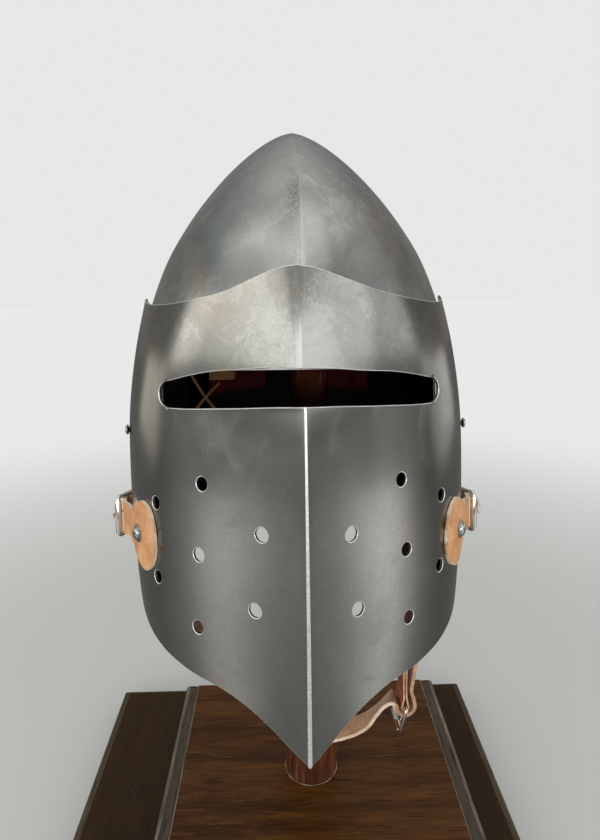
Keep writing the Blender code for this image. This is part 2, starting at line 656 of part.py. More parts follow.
def slot_cutter(name, hinge, to_roller, bars, parent):
    """Cutter for the prong's slot in a chape: a box over the fold, at the middle of the bar."""
    work = bmesh.new()
    third = np.cross(to_roller, bars)
    turn = Matrix([to_roller, bars, third]).transposed().to_4x4()
    size = Matrix.Diagonal((*(np.array(CHAPE_SLOT) * MM), 1))
    centre = Vector(np.asarray(hinge) + np.asarray(to_roller) * 2.0) * MM
    bmesh.ops.create_cube(work, size=1, matrix=Matrix.Translation(centre) @ turn @ size)
    mesh = bpy.data.meshes.new(name)
    bmesh.ops.recalc_face_normals(work, faces=work.faces)
    work.to_mesh(mesh)
    work.free()
    cutter = link_object(name, mesh, None, parent)
    hide_cutter(cutter)
    return cutter


def build_buckle(prefix, label, hinge, to_roller, bars, outward, parent):
    """A roller buckle: a bent frame, a roller on its front bar and a prong on its hinge bar."""
    def at(reach, along, lift):
        return np.asarray(hinge) + to_roller * reach + bars * along + outward * lift

    rail = ROLLER_LENGTH / 2 + 2 * FIT + WIRE
    corner = BUCKLE_CORNER
    loop = arc_points((BUCKLE_REACH - corner, rail - corner), corner, 0, 90, 4)
    loop += arc_points((corner, rail - corner), corner, 90, 180, 4)
    loop += arc_points((corner, corner - rail), corner, 180, 270, 4)
    loop += arc_points((BUCKLE_REACH - corner, corner - rail), corner, 270, 360, 4)
    frame = [at(reach, along, 0) for reach, along in loop]
    wire_object(f"{prefix}_buckle_{label}", frame, WIRE, NICKEL, parent, closed=True)
    bore = WIRE + FIT
    roller = turned_object(
        f"{prefix}_roller_{label}",
        [(bore, ROLLER_LENGTH / 2), (ROLLER_RADIUS, ROLLER_LENGTH / 2),
         (ROLLER_RADIUS, -ROLLER_LENGTH / 2), (bore, -ROLLER_LENGTH / 2)],
        NICKEL, parent,
    )
    place_along(roller, at(BUCKLE_REACH, 0, 0), bars)
    eye = WIRE + FIT + PRONG_WIRE
    turn = arc_points((0, 0), eye, 75, 350, 10)
    rest = ROLLER_RADIUS + FIT + PRONG_WIRE
    path = turn + [(8.5, 1.4), (14.0, 3.2), (BUCKLE_REACH, rest), (BUCKLE_REACH + 3.6, rest - 0.7)]
    wire_object(f"{prefix}_prong_{label}", [at(r, 0, lift) for r, lift in path], PRONG_WIRE, NICKEL, parent)


def build_side_fastenings(helmet):
    for side, label in ((1, "right"), (-1, "left")):
        build_side_strap(side, label, helmet)
        place, outward = side_strap_rivet(side)
        grip = PLATE + LEATHER + 4 * FIT
        head = place + outward * (LEATHER + 2 * FIT)
        rivet_object(f"side_strap_rivet_{label}", head, outward, STRAP_RIVET, grip, helmet)
        build_side_chape(side, label, helmet)
        build_buckle("side", label, *side_buckle_frame(side), helmet)


# --- Chin strap ------------------------------------------------------------------------------------

def strip_widths(z):
    """Middle y and lean of the chin straps: level below the chin, square to the helmet at the cheeks."""
    near_cheek = np.clip((z - CHIN_TURN_Z) / CHIN_TURN_RUN, 0, 1)
    lean = np.radians(LEAN_BACK)
    cheek_y = CHIN_ANCHOR_Y * np.cos(lean) + (z - CHIN_ANCHOR_DROP) * np.tan(lean)
    return CHIN_Y + (cheek_y - CHIN_Y) * near_cheek, lean * near_cheek


def build_chin_strap(pivot):
    route = smooth_route(CHIN_ROUTE, 6.0)
    points = np.empty((len(route), 3, 3))
    for i, (front_x, front_z, rear_x, rear_z) in enumerate(route):
        middle_y, lean = strip_widths((front_z + rear_z) / 2)
        for j, share in enumerate((-1, 0, 1)):
            keep = (1 - share) / 2
            reach = share * CHIN_WIDTH / 2
            z = front_z * keep + rear_z * (1 - keep) - reach * np.sin(lean)
            y = middle_y + reach * np.cos(lean)
            x = inside_cheek(front_x * keep + rear_x * (1 - keep), y, z, LEATHER / 2 + 2 * FIT)
            points[i, j] = (x, y, z)
    strap = grid_object("chin_strap", points[:, ::-1], LEATHER_TAN, pivot)
    add_wall(strap, LEATHER, 0)
    add_cut(strap, holes_cutter("chin_strap_rivet_hole", [(*chin_anchor(-1), STRAP_HOLE, 16)], HELMET))
    holes = []
    hinge, to_roller, bars, outward = chin_buckle_frame()
    holes.append((hinge + to_roller * 7 + outward * 0.4, to_roller, 2.4, 8))
    for x, z in CHIN_HOLES:
        holes.append(((x, CHIN_Y, z), (-0.35, 0, 1), CHIN_HOLE_RADIUS, 14))
    for number, hole in enumerate(holes):
        add_cut(strap, holes_cutter(f"chin_strap_hole_{number}", [hole], pivot))


def chin_buckle_frame():
    hinge = np.array([CHIN_HINGE[0], CHIN_Y, CHIN_HINGE[1]])
    roller = np.array([CHIN_ROLLER[0], CHIN_Y, CHIN_ROLLER[1]])
    to_roller = (roller - hinge) / np.linalg.norm(roller - hinge)
    bars = np.array([0, 1.0, 0])
    outward = np.array([-to_roller[2], 0, to_roller[0]])
    return hinge, to_roller, bars, outward


def build_chin_chape(pivot):
    """A leather strip folded round the chin buckle's hinge bar and riveted inside the right cheek."""
    hinge, to_roller, bars, outward = chin_buckle_frame()
    layer = (CHAPE_LEATHER + FIT) / 2
    middle = smooth_route(CHIN_CHAPE_ROUTE, 8.0)
    ahead = np.gradient(middle, axis=0)
    ahead /= np.linalg.norm(ahead, axis=1)[:, None]
    square = np.stack([-ahead[:, 1], ahead[:, 0]], axis=-1)
    radius = WIRE + FIT + CHAPE_LEATHER / 2
    fold = fold_points((hinge[0], hinge[2]), (to_roller[0], to_roller[2]), radius)
    first = middle + square * layer
    second = middle - square * layer
    if np.hypot(*(first[-1] - fold[0])) > np.hypot(*(second[-1] - fold[0])):
        first, second = second, first
    route = [*first, *fold, *second[::-1]]
    points = np.empty((len(route), 3, 3))
    for i, (x, z) in enumerate(route):
        middle_y, lean = strip_widths(z)
        depth = CHAPE_LEATHER / 2 + 2 * FIT + (2 * layer if i < len(first) else 0)
        for j, share in enumerate((-1, 0, 1)):
            reach = share * CHIN_WIDTH / 2
            y, z_here = middle_y + reach * np.cos(lean), z - reach * np.sin(lean)
            points[i, j] = (inside_cheek(x, y, z_here, depth), y, z_here)
    chape = grid_object("chin_chape", points, LEATHER_TAN, pivot)
    add_wall(chape, CHAPE_LEATHER, 0)
    add_cut(chape, holes_cutter("chin_chape_hole", [(*chin_anchor(1), STRAP_HOLE, 20)], HELMET))
    add_cut(chape, slot_cutter("chin_chape_slot", hinge, to_roller, bars, pivot))


def build_chin_fastenings(pivot):
    build_chin_strap(pivot)
    build_chin_chape(pivot)
    build_buckle("chin", "frame", *chin_buckle_frame(), pivot)
    for side, label, leather in ((1, "right", 2 * CHAPE_LEATHER + FIT), (-1, "left", LEATHER)):
        stack = PLATE + leather + 3 * FIT
        place, outward = chin_anchor(side)
        head = place - outward * stack
        rivet_object(f"chin_rivet_{label}", head, -outward, CHIN_RIVET, stack + FIT, HELMET)


# --- Liner ----------------------------------------------------------------------------------------

def wall_line(z, y_from, y_to, depth, count):
    """Points along the right half of the skull's wall at a height, a depth inside its outer face."""
    heights = [(values[0], index) for index, values in enumerate(SKULL_SECTIONS)]
    line = skull_section(smooth_table(z, heights, 1), np.linspace(0.5, 2, 240))[:, :2]
    ahead = np.gradient(line, axis=0)
    ahead /= np.linalg.norm(ahead, axis=1)[:, None]
    line = line + np.stack([-ahead[:, 1], ahead[:, 0]], axis=-1) * depth
    at = np.linspace(y_from, y_to, count)
    return np.stack([np.interp(at, line[:, 1], line[:, 0]), at, np.full(count, float(z))], axis=-1)


def build_liner_panel(name, side, y_from, y_to, low, high, depth, material, helmet):
    """A leather panel that follows the skull's wall between two heights."""
    middle = PLATE + depth + LINER / 2
    points = np.array([wall_line(z, y_from, y_to, middle, 7) for z in np.linspace(low, high, 6)])
    points[..., 0] *= side
    panel = grid_object(name, points[:, ::side], material, helmet)
    add_wall(panel, LINER, 0)


def build_lace(name, start, end, depth, helmet):
    """A thong that spans the gap between two liner panels, bowed along the wall."""
    points = []
    for share in np.linspace(0, 1, 6):
        y, z = (1 - share) * np.array(start) + share * np.array(end)
        x = wall_line(z, y, y + 1, PLATE + depth, 2)[0, 0]
        points.append((-x, y, z))
    wire_object(name, points, LACE_RADIUS, LEATHER_TAN, helmet)


def build_liner(helmet):
    for panel in RED_PANELS:
        build_liner_panel(*panel, LEATHER_RED, helmet)
    build_liner_panel(*LINER_FLAP, LEATHER_TAN, helmet)
    for lace in LACES:
        build_lace(*lace, helmet)


# --- Assembly --------------------------------------------------------------------------------------

clear_scene()
PARTS = bpy.data.collections.new("bascinet_on_stand")
CUTTERS = bpy.data.collections.new("cutters")
bpy.context.scene.collection.children.link(PARTS)
bpy.context.scene.collection.children.link(CUTTERS)

STEEL_DARK = make_material("dark satin steel", (0.16, 0.18, 0.20), 0.38, 1.0)
STEEL_BRIGHT = make_material("brushed steel", (0.50, 0.51, 0.52), 0.34, 1.0)
NICKEL = make_material("nickel", (0.72, 0.71, 0.68), 0.18, 1.0)
LEATHER_TAN = make_material("tan leather", (0.42, 0.19, 0.07), 0.65, 0.0)
LEATHER_RED = make_material("dark red leather", (0.13, 0.03, 0.02), 0.6, 0.0)
WOOD_DARK = make_material("dark stained wood", (0.025, 0.016, 0.013), 0.3, 0.0)
WOOD_WARM = make_material("brown stained wood", (0.05, 0.025, 0.016), 0.28, 0.0)
WOOD_RED = make_material("red-brown wood", (0.09, 0.03, 0.018), 0.3, 0.0)

build_base()
build_panel()
build_post()

PIVOT = bpy.data.objects.new("pivot_place", None)
PARTS.objects.link(PIVOT)
PIVOT.location = Vector(PIVOT_PLACE) * MM
PIVOT.rotation_euler.z = np.radians(TURN)
HELMET = bpy.data.objects.new("helmet_lean", None)
PARTS.objects.link(HELMET)
HELMET.parent = PIVOT
HELMET.rotation_euler.x = -np.radians(LEAN_BACK)

build_skull(HELMET)
build_visor(HELMET)
build_pivots(HELMET)
build_side_fastenings(HELMET)
build_chin_fastenings(PIVOT)
build_liner(HELMET)
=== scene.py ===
import bmesh
import bpy
import numpy as np
from mathutils import Matrix, Vector


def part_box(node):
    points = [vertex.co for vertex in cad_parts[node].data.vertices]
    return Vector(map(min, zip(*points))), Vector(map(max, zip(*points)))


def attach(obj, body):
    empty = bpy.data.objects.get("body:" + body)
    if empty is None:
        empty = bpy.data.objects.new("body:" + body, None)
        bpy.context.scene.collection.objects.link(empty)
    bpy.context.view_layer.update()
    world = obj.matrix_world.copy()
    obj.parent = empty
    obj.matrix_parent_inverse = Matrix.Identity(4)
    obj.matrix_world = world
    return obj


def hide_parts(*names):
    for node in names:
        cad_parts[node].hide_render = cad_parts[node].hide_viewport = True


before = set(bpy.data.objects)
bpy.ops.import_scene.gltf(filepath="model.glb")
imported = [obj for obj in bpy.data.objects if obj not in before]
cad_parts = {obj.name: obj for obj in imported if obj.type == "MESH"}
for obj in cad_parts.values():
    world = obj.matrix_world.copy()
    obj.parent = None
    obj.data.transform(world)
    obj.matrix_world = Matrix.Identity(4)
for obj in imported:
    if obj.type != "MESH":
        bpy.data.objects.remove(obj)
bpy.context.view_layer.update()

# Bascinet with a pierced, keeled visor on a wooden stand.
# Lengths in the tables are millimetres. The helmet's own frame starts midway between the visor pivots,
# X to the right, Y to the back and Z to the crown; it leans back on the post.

MM = 0.001


def node_box(name):
    """The lowest and highest corners of a CAD node, in millimetres."""
    low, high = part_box(name)
    return np.array(low) / MM, np.array(high) / MM


# --- Driving sizes ---

PIVOT_LEFT, PIVOT_RIGHT = node_box("pivot_rivet_left"), node_box("pivot_rivet_right")
PIVOT = (np.minimum(PIVOT_LEFT[0], PIVOT_RIGHT[0]) + np.maximum(PIVOT_LEFT[1], PIVOT_RIGHT[1])) / 2
SIDES = ((1, "right"), (-1, "left"))
# the helmet's lean back on the post, and its small turn to one side
LEAN, TURN = np.radians(10.0), np.radians(1.0)

PLATE, PLATE_EDGE = 1.8, 0.45
BREATH_RADIUS = 4.0
FACE_HALF_WIDTH, FACE_TOP = 81.0, 37.3
REAR_RIM_RISE = 0.55
NAPE_ANGLE, NAPE_FULLNESS = 7.0, 0.74
# how far the keel bears to the left at the brow, how far round that reaches, the height where it starts
# and the rise over which it comes in full
BROW_RIDGE_SHIFT, BROW_REACH, BROW_START, BROW_RISE = 3.2, 55, 17, 24
# side distances of the start and the tip of the sight's round ends; rise of its upper line on the left,
# with the side distance of its peak and its reach from there
SIGHT_TURN_X, SIGHT_END_X = 74.0, 80.5
SIGHT_LEFT_RISE, SIGHT_RISE_X, SIGHT_RISE_REACH = 1.5, 42, 52

LEATHER, CHAPE_LEATHER, FIT = 2.4, 1.5, 0.35
STRAP_WIDTH, CHIN_WIDTH = 20.0, 20.0
LINER, LINER_DEPTH, HEAD_BAND, LACE_RADIUS = 2.0, 2.5, (-44, 52), 1.2
WIRE, ROLLER_RADIUS, ROLLER_LENGTH, BUCKLE_REACH, PRONG_WIRE = 1.35, 2.2, 22.0, 20.3, 0.95
# reach and lift of the prong between its eye and the roller, and how far it bows aside on each side
PRONG_BEND, PRONG_SLIP = ((8.5, 1.4), (14.0, 3.2)), {1: 9.0, -1: 1.5}
SIDE_STRAP_Z = {1: -62.8, -1: -59.7}
SIDE_ROLLER, SIDE_BUCKLE_TURN = (121.8, 6.0), 72.0
SIDE_STUD_X, SIDE_ANCHOR_Y = 97.0, 53.0
CHIN_HINGE, CHIN_ROLLER, CHIN_Y = (76.5, -210.0), (72.4, -229.9), -10.5
CHIN_ANCHOR_Y, CHIN_ANCHOR_Z = -4.0, -70.0
# the x in the stand's frame past which the chin strap's leather takes painted shade
CHIN_SHADE_X = 73.5

# height, ridge, half_width, rear_edge, ridge_angle, rear_angle, fullness, ridge_round
VISOR_SECTIONS = (
    (-170, 104, 90, -20, 31, 76, 1.6, 0.5),
    (-130, 108, 102, -10, 31, 76, 1.7, 0.5),
    (-80, 111, 109.5, 0, 31, 76, 1.8, 0.5),
    (-30, 112, 112.5, 6, 31, 76, 1.8, 0.5),
    (15, 112, 112.5, 12, 31, 76, 1.8, 0.8),
    (50, 111, 108.5, 16, 27, 77, 1.5, 2.2),
    (90, 108, 100, 18, 22, 77, 1.1, 4.5),
)
# across (fraction of the plate from ridge to rear edge), height
VISOR_TOP = (
    (0, 89), (0.08, 87.5), (0.17, 83.5), (0.27, 79), (0.4, 76.5), (0.55, 76), (0.7, 78), (0.85, 82), (1, 87),
)
VISOR_BOTTOM = (
    (0, -170), (0.04, -166.8), (0.1, -161.5), (0.2, -151.6), (0.27, -145.8), (0.34, -141.4),
    (0.41, -138.3), (0.48, -136.6), (0.55, -135), (0.62, -132.4), (0.69, -129.4), (0.76, -125.5),
    (0.84, -120.5), (0.91, -115.5), (0.96, -110.5), (0.99, -104), (1, -98),
)
# height, half_width, middle, front, back, keel_angle, fullness
SKULL_SECTIONS = (
    (199, 0, 33, 0, 0, 20, 0.9),
    (190, 15.5, 32, 26, 19, 20, 0.9),
    (176, 33, 30, 50, 39, 20, 0.9),
    (156, 52, 27, 73, 60, 20, 0.9),
    (130, 71, 23, 94, 79, 20, 0.9),
    (100, 87, 19, 110, 95, 20, 0.9),
    (60, 100, 16, 118, 108, 20, 0.8),
    (15, 104.5, 14, 118, 114, 20, 0.75),
    (-30, 104.5, 14, 116, 112, 20, 0.75),
    (-80, 104.5, 15, 111, 110, 20, 0.75),
    (-112, 108, 17, 110, 112, 20, 0.75),
)
# side_distance, lower_edge, upper_edge
SIGHT = ((0, 20.5, 39), (20, 20, 38.5), (35, 19.2, 37.2), (50, 18.6, 36.4), (65, 18, 34.4), (74, 18, 32.6))
# x, height of each breath, left ones first
BREATHS = (
    (-55.1, -22.5), (-85.2, -38), (-22.9, -45.5), (-58.2, -62.5), (-86.0, -83), (-27.2, -87), (-60.3, -105.2),
    (53.6, -22.5), (82.5, -37), (23.5, -46.5), (57.1, -62.5), (81.6, -79.5), (27.2, -88), (59.1, -103),
)
# along, half_width
SIDE_STRAP_OUTLINE = (
    (0, 5), (0.5, 8.2), (1.6, 11.6), (3.4, 15), (6, 18.2), (10, 20.6), (14, 21), (18, 20), (23, 17.4),
    (28, 13.4), (33, 10), (40, 10), (104, 10), (108, 8.8), (111, 6.2), (113, 2.2),
)
# helmet x, y of the side strap's middle past the plate's rear edge
SIDE_STRAP_TAIL = (
    (117.5, 6.0), (118.4, 12.0), (120.1, 18.5), (121.0, 25.0), (117.5, 36.0), (111.5, 48.0), (106.0, 58.0),
)
# upright x, z of the chin strap's middle, from the left cheek to its tip; where the strap twists, those of
# its front edge and then those of its rear edge
CHIN_ROUTE = (
    (-106, -53), (-106, -66), (-105, -80), (-95, -102), (-82, -124), (-67, -147), (-50, -174), (-33, -199),
    (-16, -218.5), (1, -231.5),
    (18, -237, 18, -237.5), (34, -234.5, 36, -236.5), (44.5, -230, 47, -233), (50.5, -224, 54, -229),
    (56, -215, 60, -224), (61, -208.7, 65, -218), (66, -206.2, 68.5, -213.5), (69.6, -208.5, 70, -211.5),
    (71, -214, 71.2, -214.5),
    (75, -217), (80, -216.2), (83.2, -211.5), (82.6, -204), (80.6, -197.5), (81.2, -187), (82.8, -172),
    (85, -156),
)
# upright x, z of the chin chape's middle, from the cheek to the buckle
CHIN_CHAPE_ROUTE = (
    (106.0, -54.0), (106.0, -66.0), (105.0, -80.0), (95.0, -102.0), (86.5, -121.0), (79.0, -143.0),
    (76.0, -162.0), (75.4, -180.0), (75.6, -194.0), (76.1, -202.5),
)


# --- Shape formulas ---

def smooth_table(at, table, column):
    """A smooth curve through one column of a table, read at its first column (cubic Hermite)."""
    x = np.array([row[0] for row in table], float)
    y = np.array([row[column] for row in table], float)
    order = np.argsort(x)
    x, y = x[order], y[order]
    slope = np.gradient(y, x)
    at = np.clip(np.asarray(at, float), x[0], x[-1])
    left = np.clip(np.searchsorted(x, at) - 1, 0, len(x) - 2)
    step = x[left + 1] - x[left]
    t = (at - x[left]) / step
    ends = (2 * t**3 - 3 * t**2 + 1) * y[left] + (3 * t**2 - 2 * t**3) * y[left + 1]
    slopes = (t**3 - 2 * t**2 + t) * slope[left] + (t**3 - t**2) * slope[left + 1]
    return ends + step * slopes


def run_along(points):
    """The distance of each point of a path from its start, added up step by step."""
    return np.concatenate([[0], np.cumsum(np.linalg.norm(np.diff(points, axis=0), axis=1))])


def smooth_route(table, spacing):
    """Points evenly spaced along the smooth curve through a table's rows."""
    rows = np.asarray(table, float)
    along = run_along(rows)
    keyed = [(a, *row) for a, row in zip(along, rows)]
    at = np.linspace(0, along[-1], max(3, int(round(along[-1] / spacing)) + 1))
    return np.stack([smooth_table(at, keyed, column + 1) for column in range(rows.shape[1])], axis=-1)


def full_arc(t, start, corner, end, fullness):
    """A conic arc from start to end, drawn towards the corner by its fullness."""
    a, b, c = (1 - t) ** 2, 2 * fullness * t * (1 - t), t * t
    total = a + b + c
    x = (a * start[0] + b * corner[0] + c * end[0]) / total
    y = (a * start[1] + b * corner[1] + c * end[1]) / total
    return x, y


def visor_section(z, t):
    """Plan curve of the visor's right half at a height: t runs from the ridge to the rear edge."""
    ridge, width, rear, nose, tail, fullness, soft = (
        smooth_table(z, VISOR_SECTIONS, column) for column in range(1, 8)
    )
    nose, tail = np.radians(nose), np.radians(tail)
    spread = np.cos(nose) * np.sin(tail) - np.sin(nose) * np.cos(tail)
    reach = (width * np.sin(tail) - (rear + ridge) * np.cos(tail)) / spread
    corner = (reach * np.cos(nose), -ridge + reach * np.sin(nose))
    x, y = full_arc(t, (0.0 * ridge, -ridge), corner, (width, rear), fullness)
    return x, y + np.tan(nose) * (np.sqrt(x * x + soft * soft) - x)


def read_grid(values, row, column):
    """Values read between the nodes of an even grid: the four nearest, weighted by nearness."""
    row = np.clip(row, 0, values.shape[0] - 1.0001)
    column = np.clip(column, 0, values.shape[1] - 1.0001)
    i, j = row.astype(int), column.astype(int)
    u, v = row - i, column - j
    near = values[i, j] * (1 - u) * (1 - v) + values[i + 1, j] * u * (1 - v)
    return near + values[i, j + 1] * (1 - u) * v + values[i + 1, j + 1] * u * v


# every millimetre of the visor's height, and even fractions of its width
VISOR_LEVELS = np.arange(-174.0, 94.0)
VISOR_SHARES = np.linspace(0, 1, 501)


def visor_sheets():
    """x, y and developed width of the visor at each of its levels, at even fractions of its width."""
    x, y = visor_section(VISOR_LEVELS[:, None], np.linspace(0, 1, 1200)[None, :])
    steps = np.hypot(np.diff(x, axis=1), np.diff(y, axis=1))
    run = np.concatenate([np.zeros((len(x), 1)), np.cumsum(steps, axis=1)], axis=1)
    even_x = np.array([np.interp(VISOR_SHARES * r[-1], r, row) for r, row in zip(run, x)])
    even_y = np.array([np.interp(VISOR_SHARES * r[-1], r, row) for r, row in zip(run, y)])
    return even_x, even_y, run[:, -1]


VISOR_X, VISOR_Y, VISOR_WIDTH = visor_sheets()


def visor_width(z):
    """The developed width of the visor's right half at a height."""
    return np.interp(z, VISOR_LEVELS, VISOR_WIDTH)


def visor_face(across, z):
    """Points of the visor's outer face by fraction of its width, negative on the left, and height."""
    across, z = np.broadcast_arrays(np.asarray(across, float), np.asarray(z, float))
    row, column = z - VISOR_LEVELS[0], np.abs(across) * (len(VISOR_SHARES) - 1)
    x, y = (read_grid(values, row, column) for values in (VISOR_X, VISOR_Y))
    return np.stack([np.sign(across) * x, y, z], -1)


def skull_section(row, turn):
    """Points of the skull's right half: turn is 0 at the front, 1 at the side and 2 at the back."""
    rows = [(index, *values) for index, values in enumerate(SKULL_SECTIONS)]
    z, half, middle, front, back, keel, fullness = (smooth_table(row, rows, column) for column in range(1, 8))
    turn = np.asarray(turn, float)
    brow = (half, middle - front + half * np.tan(np.radians(keel)))
    nape = (half, middle + back - half * np.tan(np.radians(NAPE_ANGLE)))
    side = (half, middle)
    front_x, front_y = full_arc(np.clip(turn, 0, 1), (0, middle - front), brow, side, fullness)
    back_x, back_y = full_arc(np.clip(2 - turn, 0, 1), (0, middle + back), nape, side, NAPE_FULLNESS)
    x, y = np.where(turn <= 1, (front_x, front_y), (back_x, back_y))
    return np.stack([x, y, z + 0 * turn], axis=-1)


def skull_face(turn, z):
    """Points of the skull's outer face by turn and height."""
    heights = [(values[0], index) for index, values in enumerate(SKULL_SECTIONS)]
    return skull_section(smooth_table(z, heights, 1), turn)


def side_x(face, y, z, start, end):
    """The x where a face meets a given y and height, found by halving the range of its first parameter."""
    y, z = np.broadcast_arrays(np.asarray(y, float), np.asarray(z, float))
    low, high = np.full(y.shape, float(start)), np.full(y.shape, float(end))
    for _ in range(26):
        middle = (low + high) / 2
        short = face(middle, z)[..., 1] < y
        low, high = np.where(short, middle, low), np.where(short, high, middle)
    return face(low, z)[..., 0]


def visor_side(y, z):
    """The x of the visor's outer face on the right."""
    return side_x(visor_face, y, z, 0.0, 1.0)


def skull_side(y, z):
    """The x of the skull's outer face on the right."""
    return side_x(skull_face, y, z, 0.3, 1.9)


def upright(points):
    """Upright points given from the pivot, in the stand's frame: turned by the helmet's small turn."""
    x, y, z = np.moveaxis(np.asarray(points, float), -1, 0)
    across, back = x * np.cos(TURN) - y * np.sin(TURN), x * np.sin(TURN) + y * np.cos(TURN)
    return np.stack([across, back, z], -1) + PIVOT


def leaned(points):
    """Helmet points turned back by the lean about the pivot line, in the stand's frame."""
    x, y, z = np.moveaxis(np.asarray(points, float), -1, 0)
    back, up = y * np.cos(LEAN) + z * np.sin(LEAN), z * np.cos(LEAN) - y * np.sin(LEAN)
    return upright(np.stack([x, back, up], -1))


def mirrored(side, *vectors):
    """Points or directions of the right side, taken to the given side."""
    return [np.asarray(vector, float) * (side, 1, 1) for vector in vectors]


def unit(vectors):
    """Vectors brought to length 1."""
    return vectors / np.linalg.norm(vectors, axis=-1, keepdims=True)


def arc_points(centre, radius, start, end, count):
    """Points on an arc in a plane, with angles in degrees."""
    angles = np.radians(np.linspace(start, end, count))
    return [(centre[0] + radius * np.cos(a), centre[1] + radius * np.sin(a)) for a in angles]


def fade(distance, reach):
    """1 at no distance, falling smoothly to 0 at the reach."""
    t = np.clip(1 - distance / reach, 0, 1)
    return t * t * (3 - 2 * t)


# --- Mesh building ---

def grid_quads(rows, columns, wrap_rows=False, wrap_columns=False):
    """Corner numbers of the cells of a grid of points, row by row, as (rows, columns, 4)."""
    i = np.arange(rows if wrap_rows else rows - 1)[:, None]
    j = np.arange(columns if wrap_columns else columns - 1)[None, :]
    below, beside = (i + 1) % rows, (j + 1) % columns
    return np.stack(np.broadcast_arrays(
        i * columns + j, i * columns + beside, below * columns + beside, below * columns + j), axis=-1)


def linked(name, data):
    """A new object in the scene."""
    made = bpy.data.objects.new(name, data)
    bpy.context.scene.collection.objects.link(made)
    return made


def make_piece(name, points, quads, finishes, slot, nodes=(), away_from=None, smooth=True):
    """A piece of the object: a mesh in place, riding on the frame and standing for its CAD nodes."""
    points, quads = points.reshape(-1, 3), quads.reshape(-1, quads.shape[-1])
    used, index = np.unique(quads, return_inverse=True)
    points, quads = points[used], index.reshape(quads.shape)
    mesh = bpy.data.meshes.new(name)
    mesh.from_pydata((points * MM).tolist(), [], quads.tolist())
    work = bmesh.new()
    work.from_mesh(mesh)
    bmesh.ops.remove_doubles(work, verts=work.verts, dist=2e-7)
    if away_from is None:
        bmesh.ops.recalc_face_normals(work, faces=work.faces)
    else:
        centre = Vector(np.asarray(away_from, float) * MM)
        facing = sum(f.calc_area() * f.normal.dot(f.calc_center_median() - centre) for f in work.faces)
        if facing < 0:
            bmesh.ops.reverse_faces(work, faces=work.faces)
    work.to_mesh(mesh)
    work.free()
    mesh.polygons.foreach_set("use_smooth", np.full(len(mesh.polygons), smooth))
    for finish in finishes:
        mesh.materials.append(finish)
    piece = linked(name, mesh)
    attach(piece, "root")
    if nodes:
        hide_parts(*nodes)
    return piece


def give_wall(piece, thickness, offset, rim=0, inner=0):
    """A wall of real thickness; rim and inner are steps in the piece's list of finishes."""
    wall = piece.modifiers.new("Wall", "SOLIDIFY")
    wall.thickness = thickness * MM
    wall.offset = offset
    wall.use_even_offset = True
    wall.use_quality_normals = True
    wall.material_offset_rim = rim
    wall.material_offset = inner


def break_edges(piece, width, angle=65.0, segments=2, finish=-1, clamp=True):
    """Breaks every edge sharper than the angle by a small rounded chamfer."""
    edge = piece.modifiers.new("Edge", "BEVEL")
    edge.width = width * MM
    edge.segments = segments
    edge.limit_method = "ANGLE"
    edge.angle_limit = np.radians(angle)
    edge.material = finish
    edge.harden_normals = True
    edge.use_clamp_overlap = clamp


def plate_piece(name, points, quads, slot, node, steel, inside):
    """A steel plate from its outer face: its wall goes inwards and its edges are ground bright."""
    finishes = (steel, EDGE_STEEL, INSIDE_STEEL_IN_PAINTED_SHADE)
    plate = make_piece(name, leaned(points), quads, finishes, slot, (node,), away_from=leaned(inside))
    give_wall(plate, PLATE, -1, rim=2, inner=2)
    break_edges(plate, PLATE_EDGE, finish=1, clamp=False)
    return plate


def leather_piece(name, points, finishes, slot, node, away_from, thickness, edge, inner=0):
    """A strip or panel of leather from its middle surface, with half its wall each side and soft edges."""
    quads = grid_quads(*points.shape[:2])
    leather = make_piece(name, points, quads, finishes, slot, (node,), away_from)
    give_wall(leather, thickness, 0, rim=1, inner=inner)
    break_edges(leather, edge, 50.0)
    return leather


def tube(path, radius, up, sides=14, closed=False):
    """A round wire: a circle of the radius at each point, square to the path and set out from up."""
    path = np.asarray(path, float)
    if closed:
        ahead = np.roll(path, -1, axis=0) - np.roll(path, 1, axis=0)
    else:
        ahead = np.gradient(path, axis=0)
    ahead = unit(ahead)
    up = np.broadcast_to(np.asarray(up, float), path.shape)
    up = unit(up - np.sum(up * ahead, axis=1, keepdims=True) * ahead)
    across = np.cross(ahead, up)
    angle = np.linspace(0, 2 * np.pi, sides, endpoint=False)[None, :, None]
    radius = np.broadcast_to(np.asarray(radius, float), (len(path),))[:, None, None]
    ring = path[:, None] + radius * (np.cos(angle) * up[:, None] + np.sin(angle) * across[:, None])
    return ring, grid_quads(len(path), sides, wrap_rows=closed, wrap_columns=True)


def rounded_ends(path, radius, count=5):
    """A path and its radii with half-round ends: the radius shrinks on a circle over the last stretch."""
    path = np.asarray(path, float)
    angle = np.linspace(0, np.pi / 2, count)
    first, last = unit(path[0] - path[1]), unit(path[-1] - path[-2])
    start = path[0] + first * (radius * np.cos(angle) - radius)[:, None]
    end = path[-1] + last * (radius * np.cos(angle[::-1]) - radius)[:, None]
    swelling = radius * np.sin(angle)
    radii = np.concatenate([swelling, np.full(len(path) - 2, radius), swelling[::-1]])
    return np.concatenate([start, path[1:-1], end]), radii


